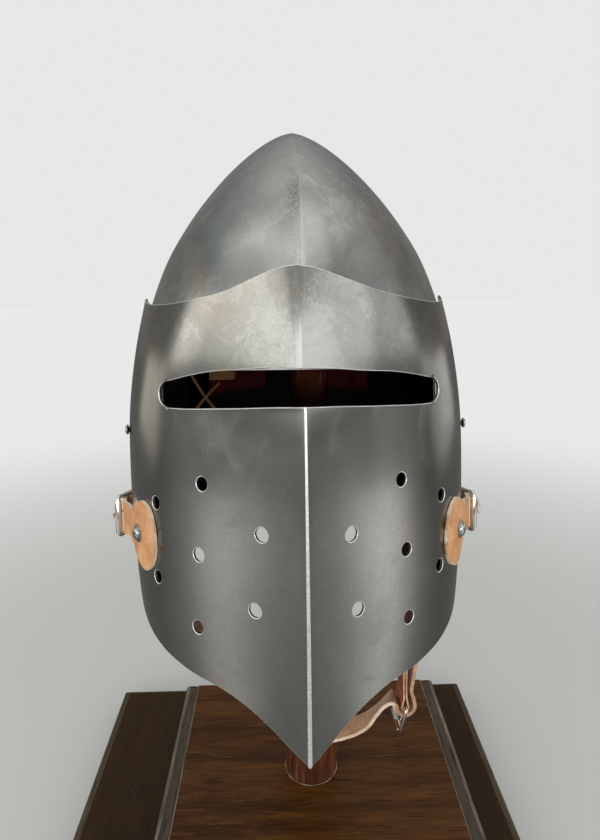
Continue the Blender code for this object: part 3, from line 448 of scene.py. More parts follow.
def turned(profile, place, axis, sides=48):
    """A turned piece: (radius, height) pairs spun round an axis through a place.

    A profile that starts off the axis is a loop, and its last ring joins its first.
    """
    profile = np.asarray(profile, float)
    axis = unit(np.asarray(axis, float))
    side = unit(np.cross(axis, (0.0, 1.0, 0.0) if abs(axis[1]) < 0.8 else (1.0, 0.0, 0.0)))
    other = np.cross(axis, side)
    angle = np.linspace(0, 2 * np.pi, sides, endpoint=False)[None, :, None]
    spin = np.cos(angle) * side + np.sin(angle) * other
    ring = np.asarray(place, float) + profile[:, 0, None, None] * spin + profile[:, 1, None, None] * axis
    closed = profile[0, 0] > 1e-6
    return ring, grid_quads(len(profile), sides, wrap_rows=closed, wrap_columns=True)


def open_block(run, height, rows, columns, targets, reach):
    """Moves a grid so that the border of a block of cells lies on a target line; the pull fades outside.

    Every point takes the shift of the nearest border point, times a weight that falls smoothly to nothing
    at a reach, counted in cells. Returns the cells to leave out, as a mask.
    """
    (r0, r1), (c0, c1) = rows, columns
    i, j = np.arange(run.shape[0])[:, None], np.arange(run.shape[1])[None, :]
    near_i, near_j = np.clip(i, r0, r1), np.clip(j, c0, c1)
    away = np.maximum(np.abs(i - near_i), np.abs(j - near_j))
    pull = np.broadcast_to(fade(away, reach), run.shape)
    shift_run = targets[0] - run[r0:r1 + 1, c0:c1 + 1]
    shift_height = targets[1] - height[r0:r1 + 1, c0:c1 + 1]
    at = (near_i - r0, near_j - c0)
    run += pull * shift_run[at]
    height += pull * shift_height[at]
    mask = np.zeros((run.shape[0] - 1, run.shape[1] - 1), bool)
    mask[r0:r1, c0:c1] = True
    return mask


def round_block(run, height, centre, radius, reach=5):
    """Opens a round hole: the border of the nearest block of cells moves onto a circle.

    A border point at a share of the block's half side goes to the same share of an eighth turn.
    """
    nearest = np.argmin(np.hypot(run - centre[0], height - centre[1]))
    row, column = np.unravel_index(nearest, run.shape)
    up_step = abs(height[row + 1, column] - height[row, column])
    side_step = abs(run[row, column + 1] - run[row, column])
    tall, wide = (max(2, int(round(radius * 0.92 / step))) for step in (up_step, side_step))
    v, u = np.meshgrid(np.linspace(-1, 1, 2 * tall + 1), np.linspace(-1, 1, 2 * wide + 1), indexing="ij")
    on_side = np.pi / 4 * v * np.sign(u) + np.pi * (u < 0)
    on_end = np.pi / 2 * np.sign(v) - np.pi / 4 * u * np.sign(v)
    angle = np.where(np.abs(u) >= np.abs(v), on_side, on_end)
    size = np.maximum(np.abs(u), np.abs(v)) * radius
    targets = (centre[0] + size * np.cos(angle), centre[1] + size * np.sin(angle))
    return open_block(run, height, (row - tall, row + tall), (column - wide, column + wide), targets, reach)


# --- Finishes ---

def toned(colour, share):
    """A colour made darker or paler by a share, kept within white."""
    return tuple(min(1.0, share * value) for value in colour)


class Nodes:
    """The shader nodes of a finish or of the sky; a value is a number, a colour or another node's socket."""

    def __init__(self, tree):
        self.tree = tree

    def add(self, kind, **settings):
        made = self.tree.nodes.new(kind)
        for key, value in settings.items():
            setattr(made, key, value)
        return made

    def feed(self, socket, value):
        if isinstance(value, bpy.types.NodeSocket):
            self.tree.links.new(value, socket)
        else:
            socket.default_value = value

    def ranged(self, value, low, high, to_low=0.0, to_high=1.0, smooth=True):
        """A value's share of the way from low to high, laid between two other numbers."""
        made = self.add("ShaderNodeMapRange", interpolation_type="SMOOTHSTEP" if smooth else "LINEAR")
        self.feed(made.inputs["Value"], value)
        for socket, number in zip(("From Min", "From Max", "To Min", "To Max"), (low, high, to_low, to_high)):
            self.feed(made.inputs[socket], number)
        return made.outputs["Result"]

    def maths(self, operation, a, b=0.0):
        made = self.add("ShaderNodeMath", operation=operation)
        self.feed(made.inputs[0], a)
        self.feed(made.inputs[1], b)
        return made.outputs[0]

    def plus(self, a, b):
        return self.maths("ADD", a, b)

    def times(self, a, b):
        return self.maths("MULTIPLY", a, b)

    def blended(self, a, share, b):
        """Two patterns added, the first by its share and the second by the rest."""
        return self.plus(self.times(a, share), self.times(b, 1 - share))

    def mixed(self, share, a, b):
        """Colour a turned into colour b by a share."""
        made = self.add("ShaderNodeMix", data_type="RGBA")
        for index, value in ((0, share), (6, a), (7, b)):
            self.feed(made.inputs[index], (*value, 1.0) if isinstance(value, tuple) else value)
        return made.outputs[2]


class Finish(Nodes):
    """A procedural finish: a Principled shader and the nodes that feed it, laid on Object coordinates."""

    def __init__(self, name, shift=(0, 0, 0), **constants):
        self.material = bpy.data.materials.new(name)
        self.material.use_nodes = True
        super().__init__(self.material.node_tree)
        self.shader = self.tree.nodes["Principled BSDF"]
        self.place = self.add("ShaderNodeTexCoord").outputs["Object"]
        self.shift = shift
        for socket, value in constants.items():
            self.shader.inputs[socket.replace("_", " ")].default_value = value

    def stretched(self, scale, turn, shift):
        """Object coordinates scaled by axis, so that a pattern runs long where the scale is small."""
        mapping = self.add("ShaderNodeMapping")
        self.feed(mapping.inputs["Vector"], self.place)
        for socket, value in (("Scale", scale), ("Rotation", turn), ("Location", shift)):
            mapping.inputs[socket].default_value = np.broadcast_to(value, 3).tolist()
        return mapping.outputs["Vector"]

    def noise(self, scale, detail=4.0, rough=0.55, distortion=0.0, turn=(0, 0, 0), shift=None):
        """Cloudy noise, with so many clouds to a metre along each axis."""
        made = self.add("ShaderNodeTexNoise")
        self.feed(made.inputs["Vector"], self.stretched(scale, turn, self.shift if shift is None else shift))
        settings = {"Scale": 1.0, "Detail": detail, "Roughness": rough, "Distortion": distortion}
        for socket, value in settings.items():
            made.inputs[socket].default_value = value
        return made.outputs["Fac"]

    def cells(self, scale):
        """Distance from the middle of the nearest cell, with so many cells to a metre."""
        made = self.add("ShaderNodeTexVoronoi")
        self.feed(made.inputs["Vector"], self.stretched(scale, (0, 0, 0), self.shift))
        made.inputs["Scale"].default_value = 1.0
        return made.outputs["Distance"]

    def axis(self, name):
        made = self.add("ShaderNodeSeparateXYZ")
        self.feed(made.inputs[0], self.place)
        return made.outputs[name]

    def past(self, name, start, reach):
        """How far a place lies past a start on an axis, counted in reaches."""
        return self.maths("DIVIDE", self.maths("SUBTRACT", self.axis(name), start), reach)

    def dot(self, direction):
        made = self.add("ShaderNodeVectorMath", operation="DOT_PRODUCT")
        self.feed(made.inputs[0], self.place)
        made.inputs[1].default_value = direction
        return made.outputs["Value"]

    def bumped(self, height, depth, strength=1.0, after=None):
        made = self.add("ShaderNodeBump")
        made.inputs["Strength"].default_value = strength
        made.inputs["Distance"].default_value = depth
        self.feed(made.inputs["Height"], height)
        if after is not None:
            self.feed(made.inputs["Normal"], after)
        return made.outputs["Normal"]

    def set(self, **sockets):
        for name, value in sockets.items():
            self.feed(self.shader.inputs[name.replace("_", " ")], value)
        return self.material


def satin_steel(name, dark, light, rough, seed, wiped=(0.0, 0.001), sanded=(), tints_and_painted_light=()):
    """Satin plate: soft cloudy tone, speckled brushing, wiped smudges, faint heat tints, painted highlights
    and painted shade, and sanded strips.

    The paler and darker patches fill in between the two wiped heights. A sanded strip is given by the
    x of its edge, its reach from there, its lowest and highest z in metres, and its share of darkening. An
    oval of heat tint, painted highlight or painted shade is given by its x and z, its half width and half
    height, its colour and its share in the middle.
    """
    plate = Finish(name, (seed, seed * 0.37, seed * 0.71), Metallic=1.0)
    cloud = plate.noise((9, 9, 7), detail=3.0, rough=0.5, distortion=0.4)
    streak = plate.noise((46, 46, 4.5), detail=5.0, rough=0.6)
    smudge = plate.noise(26, detail=5.0, rough=0.62, distortion=1.2)
    brush = plate.noise((900, 900, 60), detail=3.0, rough=0.7)
    colour = plate.mixed(plate.ranged(plate.blended(cloud, 0.8, streak), 0.36, 0.66), dark, light)
    warm = plate.ranged(plate.noise((14, 14, 11), detail=2.0), 0.55, 0.75, 0.0, 0.22)
    colour = plate.mixed(warm, colour, (0.42, 0.33, 0.22))
    grit = plate.noise((420, 420, 700), rough=0.75)
    patch = plate.noise(34, detail=5.0, rough=0.72, distortion=0.5, turn=(0.3, 0.5, 0.2))
    wiping = plate.ranged(plate.axis("Z"), *wiped, 0.12, 1.0)
    paler = plate.times(plate.ranged(patch, 0.51, 0.57, 0.0, 0.30), wiping)
    darker = plate.times(plate.ranged(patch, 0.46, 0.40, 0.0, 0.26), wiping)
    colour = plate.mixed(paler, colour, toned(light, 1.4))
    colour = plate.mixed(darker, colour, toned(dark, 0.72))
    colour = plate.mixed(plate.ranged(grit, 0.35, 0.65, 0.20, 0.0), colour, toned(dark, 0.6))
    for edge, reach, low, high, share in sanded:
        lines = plate.noise((1900, 1900, 22), detail=1.0, rough=0.4)
        run = plate.past("X", edge, reach)
        near = plate.times(plate.ranged(run, 0.1, 1.0, 1.0, 0.0), plate.maths("GREATER_THAN", run, 0.0))
        start = plate.ranged(plate.axis("Z"), low, low + 0.02)
        end = plate.ranged(plate.axis("Z"), high, high - 0.035)
        dashes = plate.ranged(plate.plus(lines, plate.times(near, 0.12)), 0.5, 0.72, 0.0, share)
        strip = plate.times(plate.times(near, plate.times(start, end)), dashes)
        colour = plate.mixed(strip, colour, toned(dark, 0.2))
    # ovals of heat tint, painted highlight and painted shade, laid into the colour
    for x, z, wide, tall, oval_colour, share in tints_and_painted_light:
        across, up = plate.past("X", x, wide), plate.past("Z", z, tall)
        away = plate.plus(plate.times(across, across), plate.times(up, up))
        colour = plate.mixed(plate.ranged(away, 0.0, 1.0, share, 0.0), colour, oval_colour)
    worn = plate.ranged(smudge, 0.5, 0.72)
    roughness = plate.ranged(plate.blended(worn, 0.7, brush), 0.0, 1.0, *rough, smooth=False)
    normal = plate.bumped(smudge, 0.00025, 0.12, after=plate.bumped(brush, 0.00002, 0.35))
    return plate.set(Base_Color=colour, Roughness=roughness, Normal=normal)


def polished_steel(name):
    """Ground edge of a plate: bright, with fine file marks that scatter the light."""
    plate = Finish(name, Metallic=0.8)
    marks = plate.noise(700, detail=2.0)
    colour = plate.mixed(plate.ranged(marks, 0.3, 0.7), (0.8, 0.8, 0.78), (0.97, 0.97, 0.95))
    rough = plate.ranged(marks, 0.2, 0.8, 0.30, 0.46)
    return plate.set(Base_Color=colour, Roughness=rough, Normal=plate.bumped(marks, 0.00002, 0.3))


def bright_nickel(name):
    """Nickel plate with handling marks."""
    metal = Finish(name, Metallic=1.0)
    marks = metal.noise(160)
    fine = metal.noise(900, detail=3.0, rough=0.7)
    colour = metal.mixed(metal.ranged(marks, 0.4, 0.7), (0.80, 0.77, 0.70), (0.92, 0.91, 0.88))
    rough = metal.ranged(fine, 0.3, 0.8, 0.1, 0.24)
    return metal.set(Base_Color=colour, Roughness=rough, Normal=metal.bumped(fine, 0.00003, 0.25))


def grain_leather(name, light, dark, seed=0.0, lit=(-1.0, 0.0)):
    """Vegetable-tanned leather, grain side: mottled tone, fine creases and pores, darker rubbed patches.

    Between the two lit heights, in metres, the hide goes from near black, painted shade, to its own colour.
    """
    hide = Finish(name, (seed, seed, seed), Specular_IOR_Level=0.4)
    mottle = hide.noise(60, detail=5.0, rough=0.6, distortion=0.6)
    fine = hide.noise(420, rough=0.65)
    pores = hide.cells(1300)
    colour = hide.mixed(hide.ranged(mottle, 0.3, 0.72), dark, light)
    colour = hide.mixed(hide.ranged(fine, 0.55, 0.8, 0.0, 0.35), colour, toned(dark, 0.55))
    # painted shade: near black below the lit heights
    colour = hide.mixed(hide.ranged(hide.axis("Z"), *lit), (0.003, 0.001, 0.001), colour)
    normal = hide.bumped(mottle, 0.0005, 0.25, after=hide.bumped(pores, 0.00012, 0.35))
    normal = hide.bumped(fine, 0.0002, 0.3, after=normal)
    return hide.set(Base_Color=colour, Roughness=hide.ranged(fine, 0.3, 0.8, 0.5, 0.72), Normal=normal)


def cut_leather(name, pale, tan):
    """Raw cut edge or flesh side: pale loose fibres over tan."""
    hide = Finish(name, Roughness=0.9, Specular_IOR_Level=0.15, Sheen_Weight=0.4, Sheen_Roughness=0.5)
    fibre = hide.noise(700, detail=5.0, rough=0.7, distortion=1.0)
    share = hide.ranged(hide.blended(fibre, 0.6, hide.noise(130, detail=3.0)), 0.38, 0.62)
    return hide.set(Base_Color=hide.mixed(share, tan, pale), Normal=hide.bumped(fibre, 0.0006, 0.7))


def stained_wood(
        name, stain, along, seed, coat=0.06, rough=(0.42, 0.6), painted_shade_heights=(9.0, 10.0), pored=0.8, gloss=0.22):
    """Open-grained wood under satin varnish: wide bands, narrow figure, dark pores along the grain, dust.

    The stain is a deep, a warm and a streak colour. Between the two shade heights, in metres, it turns
    nearly black: painted shade.
    """
    deep, warm, streak = stain
    board = Finish(name, Coat_Weight=coat, Coat_Roughness=0.16, Specular_IOR_Level=gloss)

    def grain(across, lengthwise, shift, **texture):
        scale = [lengthwise if axis == along else across for axis in "XYZ"]
        return board.noise(scale, shift=shift, **texture)

    bands = grain(34, 2.38, (seed, seed, seed), detail=3.0, distortion=0.5)
    figure = grain(170, 22.61, (seed, 0, seed), detail=6.0, rough=0.65, distortion=0.3)
    pores = board.ranged(grain(900, 37.8, (0, seed, 0), detail=2.0, rough=0.5), 0.56, 0.66)
    specks = board.ranged(board.cells(330), 0.06, 0.12, 0.6, 0.0)
    sparse = board.ranged(board.noise(70, detail=1.0), 0.6, 0.66)
    colour = board.mixed(board.ranged(bands, 0.36, 0.64), deep, warm)
    colour = board.mixed(board.ranged(figure, 0.50, 0.68, 0.0, 0.7), colour, streak)
    colour = board.mixed(board.ranged(figure, 0.46, 0.34, 0.0, 0.45), colour, toned(deep, 0.6))
    colour = board.mixed(board.times(pores, pored), colour, toned(deep, 0.2))
    colour = board.mixed(board.times(specks, sparse), colour, (0.35, 0.32, 0.28))
    # painted shade: nearly black between the shade heights
    colour = board.mixed(board.ranged(board.axis("Z"), *painted_shade_heights, 0.0, 0.88), colour, (0.004, 0.002, 0.001))
    normal = board.bumped(figure, 0.00015, 0.25, after=board.bumped(pores, 0.00012, 0.5))
    return board.set(Base_Color=colour, Roughness=board.ranged(figure, 0.3, 0.75, *rough), Normal=normal)


# sanded strips of the plates, and their ovals of painted highlight, painted shade and heat tint, as
# satin_steel takes them
VISOR_SANDED = ((0.0075, 0.022, 0.41, 0.47, 0.28), (0.0020, -0.016, 0.38, 0.45, 0.2))
# the visor's ovals are all painted light: a highlight line on the keel at the brow, a paler patch beside it,
# painted shade below the brow, pale bands of painted reflection each side, and painted shade at the right
VISOR_PAINTED_LIGHT = (
    (0.0046, 0.404, 0.0011, 0.018, (0.50, 0.50, 0.48), 0.8),
    (0.009, 0.400, 0.016, 0.026, (0.34, 0.34, 0.33), 0.4),
    (-0.002, 0.372, 0.050, 0.024, (0.105, 0.106, 0.100), 0.62),
    (0.060, 0.350, 0.023, 0.050, (0.45, 0.45, 0.43), 0.4),
    (-0.062, 0.358, 0.020, 0.050, (0.45, 0.45, 0.43), 0.3),
    (0.081, 0.352, 0.009, 0.050, (0.14, 0.14, 0.13), 0.6),
)
SKULL_SANDED = ((0.0062, -0.013, 0.415, 0.505, 0.8), (0.0072, 0.030, 0.415, 0.49, 0.3))
# the skull's three pale ovals are painted highlights and the dark grey one painted shade; the small coloured
# ones are heat tints
SKULL_TINTS_AND_PAINTED_LIGHT = (
    (-0.016, 0.440, 0.034, 0.026, (0.85, 0.85, 0.83), 0.42),
    (0.010, 0.447, 0.014, 0.034, (0.85, 0.85, 0.83), 0.4),
    (0.047, 0.437, 0.022, 0.022, (0.80, 0.80, 0.78), 0.35),
    (-0.026, 0.476, 0.024, 0.024, (0.25, 0.255, 0.25), 0.4),
    (-0.053, 0.438, 0.011, 0.020, (0.62, 0.56, 0.45), 0.45),
    (-0.041, 0.452, 0.008, 0.016, (0.30, 0.37, 0.40), 0.5),
    (0.049, 0.466, 0.006, 0.014, (0.40, 0.31, 0.23), 0.5),
    (0.056, 0.454, 0.006, 0.014, (0.38, 0.30, 0.23), 0.5),
    (0.064, 0.441, 0.006, 0.014, (0.42, 0.34, 0.27), 0.45),
)
VISOR_STEEL = satin_steel(
    "satin visor steel", (0.238, 0.240, 0.226), (0.282, 0.285, 0.270), (0.21, 0.30), 1.3,
    (0.36, 0.41), VISOR_SANDED, VISOR_PAINTED_LIGHT)
SKULL_STEEL = satin_steel(
    "satin skull steel", (0.36, 0.37, 0.355), (0.49, 0.495, 0.475), (0.25, 0.37), 4.1,
    sanded=SKULL_SANDED, tints_and_painted_light=SKULL_TINTS_AND_PAINTED_LIGHT)
EDGE_STEEL = polished_steel("polished plate edges")
# the inner face of the plates and the rivets' tails: dark steel, darkened further to near black as painted
# shade
INSIDE_STEEL_IN_PAINTED_SHADE = satin_steel(
    "inner steel darkened as painted shade", (0.012, 0.0118, 0.011), (0.032, 0.031, 0.029), (0.5, 0.65), 9.2)
RIVET_STEEL = satin_steel("rivet steel", (0.42, 0.44, 0.46), (0.62, 0.64, 0.65), (0.2, 0.34), 7.7)
NICKEL = bright_nickel("nickel plated buckles")

TAN_GRAIN = grain_leather("tan leather", (0.86, 0.47, 0.24), (0.62, 0.29, 0.125))
TAN_CUT = cut_leather("cut leather edge", (0.92, 0.80, 0.64), (0.74, 0.50, 0.30))
TAN_FLESH = cut_leather("leather flesh side", (0.86, 0.54, 0.30), (0.56, 0.29, 0.13))
TAN = (TAN_GRAIN, TAN_CUT, TAN_FLESH)
# shaded copies of the tan leather for the chin strap past the buckle and for its chape: painted shade
SHADED_CHIN_GRAIN = grain_leather("red-brown chin leather in painted shade", (0.42, 0.15, 0.065), (0.26, 0.080, 0.034), 2.0)
SHADED_CHIN_FLESH = cut_leather("chin leather's flesh side", (0.74, 0.42, 0.22), (0.40, 0.17, 0.07))
SHADED_CHIN_CUT = cut_leather("chin leather's cut edge in painted shade", (0.74, 0.50, 0.34), (0.48, 0.24, 0.13))
RED_GRAIN = grain_leather("dark red leather", (0.070, 0.015, 0.009), (0.030, 0.007, 0.005), 3.0)
# the back panels' leather: a brighter red painted lit at the top, over painted shade below
RED_BACK_LIT_OVER_SHADE = grain_leather(
    "dark red leather at the back", (0.20, 0.014, 0.018), (0.10, 0.008, 0.010), 3.0, (0.336, 0.341))
RED_SHADE = grain_leather("shaded dark red leather", (0.014, 0.003, 0.002), (0.006, 0.002, 0.001), 3.0)
RED_CUT = cut_leather("dark red cut edge", (0.22, 0.09, 0.055), (0.09, 0.03, 0.02))

SLAB_WOOD = stained_wood(
    "espresso stained wood", ((0.029, 0.0145, 0.0055), (0.036, 0.0185, 0.007), (0.041, 0.0215, 0.0085)),
    "Y", 0.0, coat=0.02, rough=(0.55, 0.65), pored=0.35, gloss=0.12)
# the slab's rounded edge: an olive colour that paints its sheen
EDGE_SHEEN_WOOD = stained_wood(
    "slab's rounded edge with olive painted sheen", ((0.052, 0.040, 0.020), (0.072, 0.057, 0.030), (0.088, 0.070, 0.040)),
    "Y", 2.2, coat=0.08)
# the panel's moulding band: more varnish, and a greyer, paler colour that paints the sheen of its slope
BAND_SHEEN_WOOD = stained_wood(
    "varnished moulding band with painted sheen", ((0.050, 0.036, 0.023), (0.072, 0.054, 0.036), (0.088, 0.068, 0.048)),
    "Y", 4.4, coat=0.16, rough=(0.34, 0.46))
PANEL_WOOD = stained_wood(
    "dark brown stained wood", ((0.048, 0.0165, 0.0030), (0.092, 0.036, 0.0075), (0.130, 0.053, 0.013)),
    "X", 3.1, coat=0.05, rough=(0.38, 0.52), pored=0.6, gloss=0.13)
# pale wood for thin lines of painted highlight on the slab's step and the panel's rounded edge and step
HIGHLIGHT_WOOD = stained_wood(
    "moulding lines of painted highlight", ((0.14, 0.11, 0.085), (0.22, 0.18, 0.145), (0.32, 0.27, 0.22)), "Y", 1.1, coat=0.2)
# the post goes into painted shade under the helmet; its top keeps its colour in the band seen through the
# sight, with painted shade below it
POST_WOOD = stained_wood(
    "red-brown varnished wood", ((0.11, 0.034, 0.018), (0.25, 0.085, 0.042), (0.36, 0.15, 0.075)),
    "Z", 5.3, coat=0.22, rough=(0.3, 0.45), painted_shade_heights=(0.16, 0.26))
SHAFT_WOOD = stained_wood(
    "shaded top of the post", ((0.035, 0.007, 0.004), (0.12, 0.030, 0.016), (0.34, 0.16, 0.11)),
    "Z", 6.1, coat=0.0, rough=(0.6, 0.75), painted_shade_heights=(0.370, 0.352), gloss=0.03)
GLUE = cut_leather("dried glue", (0.40, 0.33, 0.24), (0.22, 0.15, 0.09))


# --- Visor ---

VISOR_COLUMNS = 112
# rows below, across and above the sight, and columns each side of the keel that bound its flat
VISOR_ROWS, FLAT_COLUMNS = (116, 12, 32), 2
# heights at which the sight's lower and upper lines are read, and that of its ends
SIGHT_LEVELS, SIGHT_END_LEVEL = (19.0, 36.0), 24.5


def ridge_half_width(z):
    """Half the width of the flat ground on the keel: it widens towards the point."""
    return np.interp(z, (-170, -60, 10, 40), (1.25, 0.9, 0.6, 0.45))


def visor_grid():
    """Rows and columns of the visor as developed distance and height, with its openings laid in.

    Columns run from the left rear edge to the right; rows go from the lower edge up to the sight's lower
    line, on to its upper line, and to the upper edge.
    """
    share = np.linspace(-1, 1, 2 * VISOR_COLUMNS + 1)
    bottom, top = (smooth_table(np.abs(share), table, 1) for table in (VISOR_BOTTOM, VISOR_TOP))
    sides = [abs(visor_face(np.abs(share), level)[:, 0]) for level in SIGHT_LEVELS]
    low, high = smooth_table(sides[0], SIGHT, 1), smooth_table(sides[1], SIGHT, 2)
    high = high + SIGHT_LEFT_RISE * (share < 0) * fade(np.abs(sides[1] - SIGHT_RISE_X), SIGHT_RISE_REACH)
    lines = [bottom, low, high, top]
    height = np.concatenate([
        start + (end - start) * np.linspace(0, 1, count, endpoint=end is top)[:, None]
        for start, end, count in zip(lines[:-1], lines[1:], (*VISOR_ROWS[:2], VISOR_ROWS[2] + 1))
    ])
    width, flat = visor_width(height), ridge_half_width(height)
    step = np.abs(np.arange(-VISOR_COLUMNS, VISOR_COLUMNS + 1))[None, :]
    shoulder = flat + 0.35
    spread = (width - shoulder) * (step - FLAT_COLUMNS - 1) / (VISOR_COLUMNS - FLAT_COLUMNS - 1)
    run = np.where(step <= FLAT_COLUMNS, step / FLAT_COLUMNS * flat, shoulder + spread) * np.sign(share)
    gone = np.zeros((run.shape[0] - 1, run.shape[1] - 1), bool)
    for x, z in BREATHS:
        section = np.interp(abs(x), visor_face(VISOR_SHARES, z)[:, 0], VISOR_SHARES)
        gone |= round_block(run, height, (np.sign(x) * section * visor_width(z), z), BREATH_RADIUS)
    gone |= open_sight(run, height)
    return run, height, gone


def open_sight(run, height):
    """Opens the sight: straight along its two lines, with half-round ends set out by equal angles."""
    r0, r1 = VISOR_ROWS[0], VISOR_ROWS[0] + VISOR_ROWS[1]
    middle = visor_face(VISOR_SHARES, SIGHT_END_LEVEL)[:, 0]
    run_at = [
        np.interp(x, middle, VISOR_SHARES) * visor_width(SIGHT_END_LEVEL) for x in (SIGHT_TURN_X, SIGHT_END_X)
    ]
    row = (r0 + r1) // 2
    c0, c1 = np.argmin(np.abs(run[row] + run_at[0])), np.argmin(np.abs(run[row] - run_at[0]))
    block = (slice(r0, r1 + 1), slice(c0, c1 + 1))
    target_run, target_height = run[block].copy(), height[block].copy()
    for side, column in ((-1, 0), (1, -1)):
        low, high = target_height[0, column], target_height[-1, column]
        angle = np.linspace(-np.pi / 2, np.pi / 2, r1 - r0 + 1)
        target_run[:, column] = side * (run_at[0] + (run_at[1] - run_at[0]) * np.cos(angle))
        target_height[:, column] = (low + high) / 2 + (high - low) / 2 * np.sin(angle)
    return open_block(run, height, (r0, r1), (c0, c1), (target_run, target_height), reach=9)


def build_visor():
    """The visor: the grid laid on its face, the keel cut flat, then given its wall and broken edges.

    The keel's flat holds y no further forward than the face is at the flat's border, and at the brow the
    keel bears a little to the left.
    """
    run, height, gone = visor_grid()
    points = visor_face(run / visor_width(height), height)
    ridge, nose, soft = (smooth_table(height, VISOR_SECTIONS, column) for column in (1, 4, 7))
    flat = ridge_half_width(height) * np.cos(np.radians(nose))
    border = -ridge + np.tan(np.radians(nose)) * np.sqrt(flat**2 + soft**2)
    points[..., 1] = np.maximum(points[..., 1], border)
    above = np.clip(height - BROW_START, 0, None)
    points[..., 0] -= BROW_RIDGE_SHIFT * fade(np.abs(run), BROW_REACH) * (1 - fade(above, BROW_RISE))
    quads = grid_quads(*run.shape)[~gone]
    visor = plate_piece("visor_plate", points, quads, "dark_plate", "visor", VISOR_STEEL, (0, 40, 0))
    row, column = np.nonzero(~gone)
    ground = (row < VISOR_ROWS[0]) & (np.abs(column + 0.5 - VISOR_COLUMNS) < FLAT_COLUMNS)
    visor.data.polygons.foreach_set("material_index", ground.astype(np.int32))


# --- Skull ---

SKULL_ROWS, SKULL_FRONT_COLUMNS, SKULL_BACK_COLUMNS = 118, 58, 56
# how far from the face opening's corner its side pulls the columns, in columns and in rows above it
FACE_REACH_COLUMNS, FACE_REACH_ROWS = 22, 30


def build_skull():
    """The skull: rows from its point to its rim, columns round it from the front to the nape, face cut out.

    The rows are even along the plate's side, and the rim rises towards the nape. The columns near the face
    opening are drawn to its set half width, so that its sides run straight. The left half mirrors the right.
    """
    keys = np.linspace(0, len(SKULL_SECTIONS) - 1, 400)
    run = run_along(skull_section(keys, 0.5))
    rows = np.interp(np.linspace(0, run[-1], SKULL_ROWS), run, keys)
    ahead, behind = np.linspace(0, 1, SKULL_FRONT_COLUMNS), np.linspace(1, 2, SKULL_BACK_COLUMNS)[1:]
    turns = np.concatenate([ahead, behind])
    row, turn = np.meshgrid(rows, turns, indexing="ij")
    near_rim = np.linspace(0, 1, SKULL_ROWS)[:, None] ** 12
    row = row - REAR_RIM_RISE * np.clip(turn - 0.9, 0, 1) * near_rim
    points = skull_section(row, turn)
    level = np.argmin(np.abs(points[:, 0, 2] - FACE_TOP))
    # the columns in which the half width only grows
    widening = slice(0, 70)
    cheek = np.array([np.interp(FACE_HALF_WIDTH, line[widening, 0], turns[widening]) for line in points])
    column = int(np.argmin(np.abs(turns - cheek[level:].mean())))
    pulled = np.where(np.arange(SKULL_ROWS) >= level, cheek, cheek[level])
    beside = fade(np.abs(np.arange(len(turns)) - column)[None, :], FACE_REACH_COLUMNS)
    above = fade(np.maximum(level - np.arange(SKULL_ROWS), 0), FACE_REACH_ROWS)[:, None]
    points = skull_section(row, turn + beside * above * (pulled[:, None] - turns[column]))
    points[:, [0, -1], 0] = 0
    gone = np.zeros((SKULL_ROWS - 1, len(turns) - 1), bool)
    gone[level:, :column] = True
    whole = np.concatenate([points[:, :0:-1] * (-1, 1, 1), points], axis=1)
    keep = ~np.concatenate([gone[:, ::-1], gone], axis=1)
    quads = grid_quads(*whole.shape[:2])[keep]
    plate_piece("skull_plate", whole, quads, "brushed_plate", "skull", SKULL_STEEL, (0, 15, 20))


# --- Rivets ---

def rivet(name, place, outward, head, grip, tail, node, washer=0.0):
    """A domed rivet: a low dome on its washer, its shank and a peened tail, all turned in one.

    The profile runs from the dome's top over its rim and the washer's, down the shank and round the tail.
    """
    shank = 1.7
    lift = 0.45 if washer else 0.0
    dome = np.linspace(0, np.pi / 2, 12)
    profile = [(head * np.sin(angle), head * 0.5 * np.cos(angle) + 0.25 + lift) for angle in dome]
    profile.append((head, 0.1 + lift))
    if washer:
        profile += [(head - 0.5, lift + 0.02), (washer - 0.25, lift - 0.05)]
        profile += [(washer, lift - 0.25), (washer, 0.05)]
    profile += [(max(washer, head) - 0.15, 0), (shank, 0), (shank, -grip), (tail, -grip), (tail, -grip - 0.3)]
    profile += [(tail * 0.75, -grip - 0.9), (0, -grip - 1.1)]
    ring, quads = turned(profile, (0, 0, 0), (0, 0, 1), 40)
    outward = unit(np.asarray(outward, float))
    side = unit(np.cross(outward, (0, 0, 1.0)))
    placed = ring[..., :1] * side + ring[..., 1:2] * np.cross(outward, side) + ring[..., 2:] * outward
    points, finishes = leaned(placed + place), (RIVET_STEEL, INSIDE_STEEL_IN_PAINTED_SHADE)
    piece = make_piece(name, points, quads, finishes, "steel_rivets", (node,))
    centres = np.array([tuple(polygon.center) for polygon in piece.data.polygons]) / MM
    depth = (centres - leaned(place)) @ (leaned(place + outward) - leaned(place))
    piece.data.polygons.foreach_set("material_index", (depth < -1.0).astype(np.int32))
    break_edges(piece, 0.08, 50.0, 1)


def build_pivots():
    """The visor's pivots: a rivet each side, from outside the visor plate to inside the skull."""
    inner = float(skull_side(0.0, 0.0)) - PLATE
    head = float(visor_side(0.0, 0.0)) + 1.2
    for side, label in SIDES:
        place, outward = (side * head, 0, 0), (side, 0, 0)
        rivet(f"pivot_{label}", place, outward, 3.3, head - inner + 0.8, 3.2, f"pivot_rivet_{label}")


# --- Side straps ---

def strap_on_visor(y, z):
    """The middle of the side strap's leather where it lies on the visor plate."""
    slope = (visor_side(y + 1, z) - visor_side(y - 1, z)) / 2
    return visor_side(y, z) + (FIT + LEATHER / 2) * np.hypot(1, slope)


